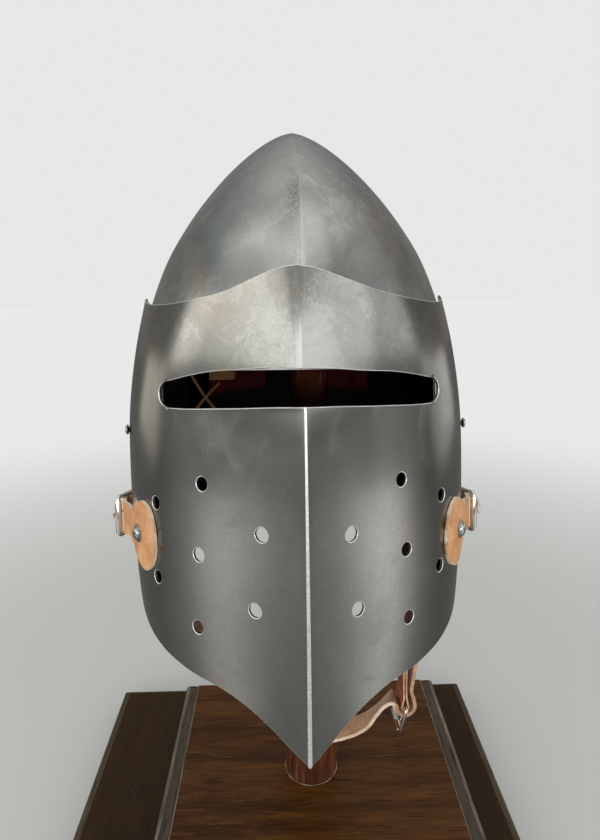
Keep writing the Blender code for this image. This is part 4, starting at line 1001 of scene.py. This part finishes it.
def ragged(count, size, seed, smooth=2):
    """Small repeatable unevenness for a cut edge, smoothed over its neighbours."""
    values = np.random.default_rng(seed).normal(size=count + 2 * smooth)
    kernel = np.ones(2 * smooth + 1) / (2 * smooth + 1)
    return size * np.convolve(values, kernel, "valid")


def ragged_edges(share, count, size, upper_seed, lower_seed):
    """Unevenness along a strip's two edges, dying away quickly towards its middle."""
    upper, lower = (ragged(count, size, seed)[:, None] for seed in (upper_seed, lower_seed))
    return np.where(share > 0, upper, lower) * np.abs(share) ** 6


def side_strap_rivet(side):
    """Where the side strap's rivet passes through the visor plate, and its outward direction."""
    height = SIDE_STRAP_Z[side]
    x, y = visor_face(VISOR_SHARES, height)[:, :2].T
    before, middle, after = (np.interp(SIDE_STUD_X + step, x, y) for step in (-1, 0, 1))
    outward = unit(np.array([after - before, -2.0, 0.0]))
    return mirrored(side, (SIDE_STUD_X, middle, height), outward)


def build_side_strap(side, label):
    """A side strap, swept along its route to the width of its outline and laid to the plate's curve."""
    height = SIDE_STRAP_Z[side]
    on_plate = np.array([(float(strap_on_visor(y, height)), y) for y in (-52, -44, -36, -28, -20, -12, -5)])
    middle = smooth_route(np.concatenate([on_plate, SIDE_STRAP_TAIL]), 1.0)
    run = run_along(middle)
    along = run * SIDE_STRAP_OUTLINE[-1][0] / run[-1]
    half = smooth_table(along, SIDE_STRAP_OUTLINE, 1)
    share = np.linspace(-1, 1, 27)
    z = height + share * half[:, None] + ragged_edges(share, len(run), 0.5, 11 + side, 21 + side)
    y = middle[:, 1, None] + 0 * z
    for seed, distance in ((31, along), (41, along[-1] - along)):
        y = y + ragged(len(share), 0.6, seed + side) * fade(distance, 3)[:, None] * 0.6
    lying = np.clip((-2 - y) / 8, 0, 1)
    flat_y = np.minimum(y, -2)
    shift = strap_on_visor(flat_y, z) - strap_on_visor(flat_y, np.full(y.shape, height))
    x = middle[:, 0, None] + lying * shift
    points = leaned(np.stack([side * x, y, z], -1))
    leather_piece(f"side_strap_leather_{label}", points, TAN, "tan_leather", f"side_strap_{label}",
                  leaned((0, 0, height)), LEATHER, 0.5, inner=2)


def side_buckle_frame(side):
    """Hinge bar place and the directions of the side buckle: towards its roller, along its bars, outwards."""
    turn = np.radians(SIDE_BUCKLE_TURN)
    to_roller = np.array([np.cos(turn), -np.sin(turn), 0])
    hinge = np.array([*SIDE_ROLLER, SIDE_STRAP_Z[side]]) - to_roller * BUCKLE_REACH
    hinge, to_roller, outward = mirrored(side, hinge, to_roller, (np.sin(turn), np.cos(turn), 0))
    return hinge, to_roller, np.array([0, 0, 1.0]), outward


def chin_buckle_frame():
    """Hinge bar place and the directions of the chin buckle: towards its roller, along its bars, outwards."""
    hinge, roller = (np.array([x, CHIN_Y, z]) for x, z in (CHIN_HINGE, CHIN_ROLLER))
    to_roller = unit(roller - hinge)
    return hinge, to_roller, np.array([0, 1.0, 0]), np.array([-to_roller[2], 0, to_roller[0]])


def build_buckle(label, hinge, to_roller, bars, outward, place, nodes, slip=0.0):
    """A roller buckle: a bent wire frame, a sheet roller on its front bar and a prong on its hinge bar.

    The frame is a wire round a rectangle with quarter-round corners. The roller is a turned tube. The prong
    goes round the hinge bar and over the roller, and bows aside by the slip.
    """
    def at(reach, along, lift):
        reach, along, lift = (np.asarray(v, float)[..., None] for v in (reach, along, lift))
        return place(hinge + to_roller * reach + bars * along + outward * lift)

    def way(direction):
        return place(direction) - place((0, 0, 0))

    half, bore, rim, corner = ROLLER_LENGTH / 2, WIRE + FIT, 0.35, 2.2
    ahead, across = BUCKLE_REACH - corner, half + 2 * FIT + WIRE - corner
    loop = []
    corners = ((ahead, across), (corner, across), (corner, -across), (ahead, -across))
    for quarter, middle in enumerate(corners):
        loop += arc_points(middle, corner, 90 * quarter, 90 * quarter + 90, 9)
    loop = np.array(loop + loop[:1])
    run = run_along(loop)
    even = np.linspace(0, run[-1], 120, endpoint=False)
    reach, along = (np.interp(even, run, loop[:, column]) for column in (0, 1))
    ring, quads = tube(at(reach, along, 0 * even), WIRE, way(outward), 16, closed=True)
    make_piece(f"{label}_frame", ring, quads, (NICKEL,), "nickel", (nodes[0],))
    top = [(bore, half), (ROLLER_RADIUS - rim, half), (ROLLER_RADIUS - 0.1, half - 0.1)]
    top.append((ROLLER_RADIUS, half - rim))
    profile = [*top, (ROLLER_RADIUS, 0), *((radius, -height) for radius, height in top[::-1])]
    ring, quads = turned(profile, at(BUCKLE_REACH, 0, 0), way(bars), 40)
    roller = make_piece(f"{label}_roller", ring, quads, (NICKEL,), "nickel", (nodes[1],))
    break_edges(roller, 0.06, 40.0, 1)
    rest = ROLLER_RADIUS + FIT + PRONG_WIRE
    path = arc_points((0, 0), bore + PRONG_WIRE, 75, 350, 10)
    path += [*PRONG_BEND, (BUCKLE_REACH, rest), (BUCKLE_REACH + 3.6, rest - 0.7)]
    reach, lift = smooth_route(path, 0.8).T
    past = np.clip(reach / BUCKLE_REACH, 0, 1.1)
    swell = slip * np.sin(np.pi * np.clip(past * 0.93, 0, 1)) ** 0.8
    spine, radii = rounded_ends(at(reach, swell, lift + swell * 0.34), PRONG_WIRE)
    make_piece(f"{label}_prong", *tube(spine, radii, way(bars), 14), (NICKEL,), "nickel", (nodes[2],))


def fold_points(hinge, towards, radius, count=17):
    """Half circle round a hinge bar in a plane, open away from the roller."""
    lead = np.degrees(np.arctan2(towards[1], towards[0]))
    return arc_points(hinge, radius, lead - 90, lead + 90, count)


def skull_anchor(side, y, z):
    """Where a strap's rivet passes through the skull, and its outward direction."""
    slope = float(skull_side(y + 2, z) - skull_side(y - 2, z)) / 4
    outward = np.array([1.0, -slope, 0.0]) / np.hypot(1, slope)
    return mirrored(side, (float(skull_side(y, z)), y, z), outward)


def build_side_chape(side, label):
    """A leather strip folded round the hinge bar, both layers riveted to the skull."""
    hinge, to_roller = side_buckle_frame(1)[:2]
    layer = CHAPE_LEATHER + FIT
    # y of four places along the strip, and how far it stands off the skull at each
    backs, standing = np.array([34.0, 42.0, 50.0, 60.0]), np.array([3.5, 1.6, 0.6, 0.6])
    height = SIDE_STRAP_Z[side]
    skin = skull_side(backs, np.full(4, height - STRAP_WIDTH / 2))
    skin = skin + FIT + CHAPE_LEATHER / 2 + standing
    inner = [(x, y) for x, y in zip(skin, backs)]
    outer = [(x + layer * 1.08, y + layer * 0.25) for x, y in inner]
    fold = fold_points(hinge[:2], to_roller[:2], WIRE + FIT + CHAPE_LEATHER / 2)
    fold = fold[::-1] if fold[0][0] > fold[-1][0] else fold
    route = smooth_route(inner[::-1] + fold + outer, 1.0)
    z = height + np.linspace(-1, 1, 13) * STRAP_WIDTH / 2
    points = np.stack(np.broadcast_arrays(side * route[:, :1], route[:, 1:], z[None, :]), -1)
    leather_piece(f"side_chape_leather_{label}", leaned(points), TAN, "tan_leather", f"side_chape_{label}",
                  leaned((side * 112, 44, height)), CHAPE_LEATHER, 0.3)
    place, through = skull_anchor(side, SIDE_ANCHOR_Y, height)
    place = place + through * (2 * layer + 4 * FIT)
    grip = PLATE + 2 * layer + 5 * FIT
    rivet(f"side_chape_stud_{label}", place, through, 4.0, grip, 3.2, f"side_chape_rivet_{label}")


def build_side_fastenings():
    """Each side's strap with its washered rivet, the chape on the skull and the buckle between them."""
    for side, label in SIDES:
        build_side_strap(side, label)
        place, outward = side_strap_rivet(side)
        place = place + outward * (LEATHER + 2 * FIT)
        grip = PLATE + LEATHER + 4 * FIT
        rivet(f"side_strap_stud_{label}", place, outward, 4.4, grip, 3.2, f"side_strap_rivet_{label}", 5.7)
        build_side_chape(side, label)
        nodes = [f"side_{part}_{label}" for part in ("buckle", "roller", "prong")]
        build_buckle(f"side_buckle_{label}", *side_buckle_frame(side), leaned, nodes, PRONG_SLIP[side])


# --- Chin strap ---

def inside_cheek(x, y, z, depth):
    """The x of upright points, held inside the skull's wall by a depth."""
    wall = skull_side(y * np.cos(LEAN) - z * np.sin(LEAN), y * np.sin(LEAN) + z * np.cos(LEAN))
    return np.sign(x) * np.minimum(np.abs(x), wall - PLATE - depth)


def chin_strip(front, rear, width, depth, columns=13):
    """Points of a strip under the chin: level below it, and square to the helmet at the cheeks.

    It turns from the one to the other between 150 and 90 below the pivots.
    """
    share = np.linspace(-1, 1, columns)[None, :]
    keep = (1 - share) / 2
    middle_z = (front[:, 1] + rear[:, 1])[:, None] / 2
    near_cheek = np.clip((middle_z + 150) / 60, 0, 1)
    lean = LEAN * near_cheek
    cheek_y = CHIN_ANCHOR_Y * np.cos(LEAN) + (middle_z - 0.7) * np.tan(LEAN)
    reach = share * width[:, None] / 2
    y = CHIN_Y + (cheek_y - CHIN_Y) * near_cheek + reach * np.cos(lean)
    z = front[:, 1:] * keep + rear[:, 1:] * (1 - keep) - reach * np.sin(lean)
    x = front[:, :1] * keep + rear[:, :1] * (1 - keep)
    return np.stack([inside_cheek(x, y, z, depth), y, z], -1)


def build_chin_strap():
    """The chin strap: a strip along its route with a rounded tip, grain side out, in painted shade past the
    buckle.
    """
    spacing, tip, columns = 1.5, 9.0, 17
    route = smooth_route([row if len(row) == 4 else row * 2 for row in CHIN_ROUTE], spacing)
    run = np.arange(len(route)) * spacing
    near_tip = np.clip((run[-1] - run) / tip, 0.12, 1)
    width = CHIN_WIDTH * np.sqrt(np.clip(1 - (1 - near_tip) ** 2, 0.05, 1))
    points = chin_strip(route[:, :2], route[:, 2:], width, LEATHER / 2 + 2 * FIT, columns)
    points[..., 1] += ragged_edges(np.linspace(-1, 1, columns), len(run), 0.45, 5, 6)
    finishes = (TAN_FLESH, TAN_CUT, TAN_GRAIN, SHADED_CHIN_FLESH, SHADED_CHIN_CUT, SHADED_CHIN_GRAIN)
    strap = leather_piece("chin_strap_leather", upright(points), finishes, "tan_leather", "chin_strap",
                          upright((0, -10, -150)), LEATHER, 0.5, inner=2)
    strap.data.flip_normals()
    # past the buckle the strap takes the shaded copies of its finishes: painted shade
    for polygon in strap.data.polygons:
        polygon.material_index = 3 * int(polygon.center[0] > CHIN_SHADE_X * MM)


def build_chin_chape():
    """A leather strip folded round the chin buckle's hinge bar and riveted inside the right cheek."""
    hinge, to_roller = chin_buckle_frame()[:2]
    layer = (CHAPE_LEATHER + FIT) / 2
    middle = smooth_route(CHIN_CHAPE_ROUTE, 2.0)
    ahead = unit(np.gradient(middle, axis=0))
    square = np.stack([-ahead[:, 1], ahead[:, 0]], axis=-1)
    fold = np.array(fold_points(hinge[[0, 2]], to_roller[[0, 2]], WIRE + FIT + CHAPE_LEATHER / 2))
    first, second = middle + square * layer, middle - square * layer
    if np.hypot(*(first[-1] - fold[0])) > np.hypot(*(second[-1] - fold[0])):
        first, second = second, first
    route = np.concatenate([first, fold, second[::-1]])
    depth = np.where(np.arange(len(route)) < len(first), 2 * layer, 0)[:, None] + CHAPE_LEATHER / 2 + 2 * FIT
    points = chin_strip(route, route, np.full(len(route), CHIN_WIDTH), depth)
    # the chape takes the shaded chin leather: painted shade
    leather_piece("chin_chape_leather", upright(points), (SHADED_CHIN_GRAIN, SHADED_CHIN_CUT), "tan_leather", "chin_chape",
                  upright((hinge[0], CHIN_Y, -180)), CHAPE_LEATHER, 0.3)


def build_chin_fastenings():
    """The chin strap, its buckle in a chape at the right cheek, and a rivet from inside each cheek."""
    build_chin_strap()
    build_chin_chape()
    nodes = ("chin_buckle_frame", "chin_roller_frame", "chin_prong_frame")
    build_buckle("chin_buckle", *chin_buckle_frame(), upright, nodes)
    for (side, label), leather in zip(SIDES, (2 * CHAPE_LEATHER + FIT, LEATHER)):
        stack = PLATE + leather + 3 * FIT
        place, outward = skull_anchor(side, CHIN_ANCHOR_Y, CHIN_ANCHOR_Z)
        place = place - outward * stack
        rivet(f"chin_stud_{label}", place, -outward, 4.0, stack + FIT, 2.8, f"chin_rivet_{label}")


# --- Liner ---

def wall_points(y, z, depth):
    """Points a depth inside the skull's outer face on the right, at given y and height."""
    slope = (skull_side(y + 1, z) - skull_side(y - 1, z)) / 2
    return np.stack([skull_side(y, z) - depth * np.hypot(1, slope), y, z], -1)


def build_liner_panel(name, side, across, heights, depth, finishes, slot="dark_red_leather"):
    """A leather panel that follows the skull's wall, across from one y to another, between two heights."""
    y, z = np.meshgrid(np.linspace(*across, 19), np.linspace(*heights, 33))
    points = leaned(wall_points(y, z, PLATE + depth + LINER / 2) * (side, 1, 1))
    leather_piece(f"{name}_leather", points, finishes, slot, name, leaned((side * 300, 90, 0)), LINER, 0.4)


def build_lace(name, start, end, depth):
    """A thong across the gap between two liner panels, from one y and z to another, bowed along the wall."""
    share = np.linspace(0, 1, 24)[:, None]
    y, z = ((1 - share) * np.array(start, float) + share * np.array(end, float)).T
    path = leaned(np.stack([PLATE + depth - skull_side(y, z), y, z], -1))
    path, radii = rounded_ends(path, LACE_RADIUS)
    make_piece(f"{name}_thong", *tube(path, radii, (1, 0, 0), 12), (TAN_GRAIN,), "tan_leather", (name,))


def build_liner():
    """The liner's panels and the two laces between those on the left."""
    build_liner_panel("liner_left", -1, (36, 70), HEAD_BAND, LINER_DEPTH, (RED_SHADE, RED_GRAIN))
    # the back panels are painted lit at the top and shaded below; the left panel is in painted shade
    build_liner_panel("liner_back_left", -1, (89, 117.5), HEAD_BAND, LINER_DEPTH, (RED_BACK_LIT_OVER_SHADE, RED_GRAIN))
    build_liner_panel("liner_back_right", 1, (94, 116.5), HEAD_BAND, LINER_DEPTH, (RED_BACK_LIT_OVER_SHADE, RED_GRAIN))
    build_liner_panel("liner_neck_right", 1, (62, 98), (-122, -56), LINER_DEPTH, (RED_GRAIN, RED_CUT))
    build_liner_panel("liner_flap", -1, (85, 101), (29.5, 56), 6.0, (TAN_GRAIN, TAN_CUT), "tan_leather")
    build_lace("liner_lace_1", (69, 34), (91, 6), 8.5)
    build_lace("liner_lace_2", (91, 27), (69, 7), 12.0)


# --- Stand ---

def closed_rings(rings, first, last):
    """Rings of points between a first and a last ring that are drawn into a point each, to close the ends."""
    start, end = (np.broadcast_to(centre, (1, rings.shape[1], 3)) for centre in (first, last))
    return np.concatenate([start, rings, end])


def build_slab():
    """The slab: a rectangle in plan at each level of a rounded, stepped edge, closed top and bottom."""
    low, high = node_box("stand_base")
    centre, half, tall = (low + high) / 2, (high - low) / 2, high[2] - low[2]
    step, edge, corner = 1.1, 5.5, 1.2
    side = [(0.6, 0.0), (0.0, 0.6), (0.0, tall - step - edge)]
    side += [(edge - x, tall - step - edge + z) for x, z in arc_points((0, 0), edge, 0, 90, 12)[1:]]
    side += [(edge + 0.7, tall - step), (edge + 0.9, tall - step + 0.2)]
    side += [(edge + 0.9, tall - 0.3), (edge + 1.2, tall)]
    inset, height = np.array(side).T
    plan = np.array([
        (sx, sy, *point) for sx, sy, start in ((1, 1, 0), (-1, 1, 90), (-1, -1, 180), (1, -1, 270))
        for point in arc_points((0, 0), corner, start, start + 90, 5)
    ])
    x = centre[0] + plan[:, 0] * (half[0] - inset[:, None] - corner) + plan[:, 2]
    y = centre[1] + plan[:, 1] * (half[1] - inset[:, None] - corner) + plan[:, 3]
    rings = np.stack(np.broadcast_arrays(x, y, low[2] + height[:, None]), -1)
    rings = closed_rings(rings, (centre[0], centre[1], low[2]), (centre[0], centre[1], high[2]))
    quads = grid_quads(*rings.shape[:2], wrap_columns=True)
    finishes = (SLAB_WOOD, EDGE_SHEEN_WOOD, HIGHLIGHT_WOOD)
    slab = make_piece("stand_slab", rings, quads, finishes, "dark_wood", ("stand_base",), smooth=False)
    # the rounded edge takes the olive painted sheen and the step the pale lines of painted highlight
    row = np.arange(len(slab.data.polygons)) // len(plan)
    rounded, stepped, top = row > 6, row > len(side) - 4, row >= len(side)
    kind = np.where(stepped, 2, np.where(rounded, 1, 0)) * ~top
    slab.data.polygons.foreach_set("material_index", kind.astype(np.int32))


def build_panel():
    """The raised panel: a profile of rounded edge, shallow hollow and step, drawn from its front to its back.

    The right half of the profile goes up the edge and in over the band to the step, and the left mirrors it.
    """
    low, high = node_box("stand_panel")
    centre, half, tall = (low[0] + high[0]) / 2, (high[0] - low[0]) / 2, high[2] - low[2]
    band, edge, wide, bevel = tall - 1.0, 3.4, 12.0, 0.35
    hollow = half - edge - 0.4
    right = [(half - 0.4, 0.0), (half, 0.4), *arc_points((half - edge, band - edge), edge, 0, 90, 12)]
    right += [(half - edge - 0.15, band - 0.2), (hollow, band - 0.35)]
    share = np.linspace(0, 1, 15)[1:]
    right += [(hollow - (wide - edge - 1.0) * x, band - 0.35 - 0.75 * np.sin(np.pi * x)) for x in share]
    right += [(half - wide + 0.4, band - 0.1), (half - wide + 0.1, tall - 0.25)]
    right += [(half - wide - 0.15, tall - 0.05), (half - wide - 0.6, tall)]
    right = np.array(right)
    outline = np.concatenate([right, right[::-1] * (-1, 1)])
    depth = np.array([low[1], low[1] + bevel, high[1] - bevel, high[1]])
    shrink = np.array([bevel, 0.0, 0.0, bevel])[:, None]
    inner = np.sign(outline[:, 0]) * (np.abs(outline[:, 0]) - shrink)
    up = np.clip(outline[:, 1], shrink, tall - shrink)
    rings = np.stack(np.broadcast_arrays(centre + inner, depth[:, None], low[2] + up), -1)
    middle = low[2] + tall / 2
    rings = closed_rings(rings, (centre, low[1], middle), (centre, high[1], middle))
    quads = grid_quads(*rings.shape[:2], wrap_columns=True)
    finishes = (PANEL_WOOD, BAND_SHEEN_WOOD, HIGHLIGHT_WOOD)
    node = ("stand_panel",)
    panel = make_piece("stand_moulded_panel", rings, quads, finishes, "brown_wood", node, smooth=False)
    # the band takes a greyer colour as painted sheen, and the rounded edge and the step pale lines of painted
    # highlight
    for polygon in panel.data.polygons:
        inward, up = half - abs(polygon.center[0] / MM - centre), polygon.center[2] / MM - low[2]
        end = abs(polygon.normal[1]) >= 0.5
        highlit_edge = 1.2 < inward < edge + 0.4 and up > band - 1.4
        highlit_step = wide - 0.5 < inward < wide + 0.6 and up > band - 0.2
        polygon.material_index = 0 if end else 2 if highlit_edge or highlit_step else int(inward < wide)


def build_post():
    """The post: a turned shaft with a rounded shoulder, and a thin bead of glue round its foot."""
    low, high = node_box("stand_post")
    centre = np.array([(low[0] + high[0]) / 2, (low[1] + high[1]) / 2, low[2]])
    foot, top, shoulder, length = (high[0] - low[0]) / 2, 12.75, 255.0, high[2] - low[2]
    profile = [(0, 0), (foot - 0.4, 0), (foot, 0.4), (foot, 120)]
    profile += [*arc_points((foot - 8, shoulder), 8, 0, 90, 12)]
    profile += [(top + 1.2, shoulder + 8.1), (top, shoulder + 9.2), (top, length - 90)]
    profile += [*arc_points((top - 6, length - 6), 6, 0, 90, 10), (0, length)]
    ring, quads = turned(profile, centre, (0, 0, 1), 72)
    finishes = (POST_WOOD, SHAFT_WOOD)
    post = make_piece("stand_turned_post", ring, quads, finishes, "red_brown_wood", ("stand_post",))
    heights = np.array([polygon.center[2] for polygon in post.data.polygons])
    post.data.polygons.foreach_set("material_index", (heights > shoulder * MM).astype(np.int32))
    count, reach = 160, foot + 0.15
    angle = np.linspace(0, 2 * np.pi, count, endpoint=False)
    line = np.stack([reach * np.cos(angle), reach * np.sin(angle), 0 * angle - 0.05], -1) + centre
    bead = np.maximum(0.15, 0.3 + ragged(count, 0.25, 77, 3))
    make_piece("post_glue_line", *tube(line, bead, (0, 0, 1), 8, closed=True), (GLUE,), "red_brown_wood")


# --- Floor, light and camera ---

BACKDROP = (0.80, 0.80, 0.80)
# turn from the front and half width in degrees, radiance: bright wedges of floor that the plates mirror
FLOOR_GLOWS = ((77.2, 10, 2.7), (-70.8, 12, 1.6))
GLOW_POINT = (0.0, -0.104)
# height as a share from straight down to straight up, brightness of the dome there
SKY_LEVELS = ((0.68, 0.23), (0.76, 0.26), (0.815, 0.42), (0.866, 0.55), (0.895, 0.85))
# side, turn from the front in degrees, middle height, width and height in metres, radiance, colour
LIGHT_BOXES = (
    ("front", 0, 0.80, 1.75, 0.76, 2.5, (1, 0.99, 0.97)),
    ("left", -52, 0.80, 1.6, 0.76, 2.3, (1, 0.985, 0.95)),
    ("far left", -88, 0.72, 0.62, 0.6, 2.3, (1, 0.975, 0.93)),
    ("right", 50, 0.80, 1.5, 0.76, 1.8, (0.99, 0.99, 1)),
    ("far right", 86, 0.72, 0.7, 0.6, 1.05, (0.97, 0.98, 1)),
    ("rear left", -114, 0.22, 0.85, 0.34, 0.9, (1, 0.93, 0.80)),
    ("rear right", 114, 0.2, 1.0, 0.34, 1.0, (1, 0.99, 0.95)),
)
LIGHT_DISTANCE, LIGHT_AIM = 1.8, (0, 0, 0.33)
# the camera's place from the midpoint of the pivots, and its pitch, yaw and roll in degrees
CAMERA_FROM_PIVOT = (-8.0, -385.0, 109.5)
CAMERA_PITCH, CAMERA_YAW, CAMERA_ROLL = 15.3, 1.47, 0.5
SENSOR_HEIGHT = 36.0


def floor_finish():
    """The pale floor: it fades into the backdrop; only reflections see its two bright wedges, a painted glow.

    A wedge spreads from the glow point: its brightness falls with the slant across over along, and grows
    with the distance along until it fades out. Reflections see a darker floor, painted shade darkest behind
    the stand.
    """
    pale = Finish("pale floor", Roughness=0.9, Specular_IOR_Level=0.2)
    far = pale.add("ShaderNodeVectorMath", operation="LENGTH")
    pale.feed(far.inputs[0], pale.place)
    seen = pale.add("ShaderNodeLightPath").outputs["Is Camera Ray"]
    share = pale.times(pale.ranged(far.outputs["Value"], 0.35, 1.3), seen)
    unseen = pale.maths("SUBTRACT", 1.0, seen)
    glow = share
    for turn, spread, radiance in FLOOR_GLOWS:
        turn = np.radians(turn)
        along, across = (
            pale.maths("SUBTRACT", pale.dot((*way, 0)), np.dot(way, GLOW_POINT))
            for way in ((np.sin(turn), -np.cos(turn)), (np.cos(turn), np.sin(turn)))
        )
        slant = pale.maths("ABSOLUTE", pale.maths("DIVIDE", across, along))
        wedge = pale.ranged(slant, 0.0, np.tan(np.radians(spread)), radiance, 0.0)
        for growth in ((0.35, 1.2, 0.55, 1.0), (0.2, 0.35, 0.0, 1.0), (1.2, 3.0, 1.0, 0.0)):
            wedge = pale.times(wedge, pale.ranged(along, *growth))
        glow = pale.plus(glow, pale.times(wedge, unseen))
    # painted shade for reflections: the floor they see is darker, and darkest behind the stand
    behind = pale.ranged(pale.axis("Y"), -0.25, 0.1)
    colour = pale.mixed(behind, (0.36, 0.36, 0.355), (0.2, 0.2, 0.195))
    colour = pale.mixed(share, pale.mixed(seen, colour, (0.62, 0.62, 0.61)), (0.0, 0.0, 0.0))
    return pale.set(Base_Color=colour, Emission_Color=(*BACKDROP, 1.0), Emission_Strength=glow)


def build_floor():
    """A plain floor disc, wide enough for every view."""
    radii, sides = (0.0, 0.6, 2.0, 6.0), 96
    angle = np.linspace(0, 2 * np.pi, sides, endpoint=False)
    rings = np.stack([np.stack([r * np.cos(angle), r * np.sin(angle), 0 * angle], -1) for r in radii])
    quads = grid_quads(len(radii), sides, wrap_columns=True).reshape(-1, 4)[:, ::-1]
    mesh = bpy.data.meshes.new("floor")
    mesh.from_pydata(rings.reshape(-1, 3).tolist(), [], quads.tolist())
    mesh.materials.append(floor_finish())
    linked("floor", mesh)


def build_sky():
    """A dome for the reflections, brown below and brighter overhead, and a pale backdrop for the camera."""
    world = bpy.data.worlds.new("studio")
    bpy.context.scene.world = world
    world.use_nodes = True
    sky = Nodes(world.node_tree)
    split = sky.add("ShaderNodeSeparateXYZ")
    sky.feed(split.inputs[0], sky.add("ShaderNodeTexCoord").outputs["Generated"])
    ramp = sky.add("ShaderNodeValToRGB")
    sky.feed(ramp.inputs["Fac"], sky.ranged(split.outputs["Z"], -1.0, 1.0, smooth=False))
    stops = ramp.color_ramp.elements
    stops[0].position, stops[0].color = 0.5, (0.22, 0.205, 0.18, 1)
    stops[1].position, stops[1].color = 1.0, (0.95, 0.95, 0.93, 1)
    for place, level in SKY_LEVELS:
        stops.new(place).color = (level, level, level * 0.98, 1)
    seen = sky.add("ShaderNodeLightPath").outputs["Is Camera Ray"]
    colour = sky.mixed(seen, ramp.outputs["Color"], BACKDROP)
    sky.feed(world.node_tree.nodes["Background"].inputs["Color"], colour)


def build_lights():
    """Soft studio light: a wide box ahead and at each side of the front, smaller ones further round."""
    for label, turn, middle, width, height, radiance, colour in LIGHT_BOXES:
        data = bpy.data.lights.new(label + " box", "AREA")
        data.shape = "RECTANGLE"
        data.size, data.size_y = width, height
        data.energy = radiance * np.pi * width * height
        data.color = colour
        turn = np.radians(turn)
        light = linked(label + " box", data)
        light.location = (LIGHT_DISTANCE * np.sin(turn), -LIGHT_DISTANCE * np.cos(turn), middle)
        light.rotation_euler = (Vector(LIGHT_AIM) - light.location).to_track_quat("-Z", "Y").to_euler()


def build_camera():
    """The camera stands a little left of the helmet, above its brow, and looks down on it."""
    data = bpy.data.cameras.new("camera")
    data.sensor_fit = "VERTICAL"
    data.sensor_height = SENSOR_HEIGHT
    data.lens = SENSOR_HEIGHT * 5 / 7
    data.clip_start = 0.02
    camera = linked("camera", data)
    camera.location = Vector((PIVOT + CAMERA_FROM_PIVOT) * MM)
    pitch, yaw, roll = np.radians((CAMERA_PITCH, CAMERA_YAW, CAMERA_ROLL))
    forward = Vector((np.sin(yaw) * np.cos(pitch), np.cos(yaw) * np.cos(pitch), -np.sin(pitch)))
    turn = forward.to_track_quat("-Z", "Y").to_matrix().to_4x4()
    spin = Matrix.Rotation(-roll, 4, "Z")
    camera.rotation_euler = (turn @ spin).to_euler()
    bpy.context.scene.camera = camera


build_visor()
build_skull()
build_pivots()
build_side_fastenings()
build_chin_fastenings()
build_liner()
build_slab()
build_panel()
build_post()
build_floor()
build_sky()
build_lights()
build_camera()
bpy.context.scene.view_settings.view_transform = "Standard"

bpy.context.view_layer.update()
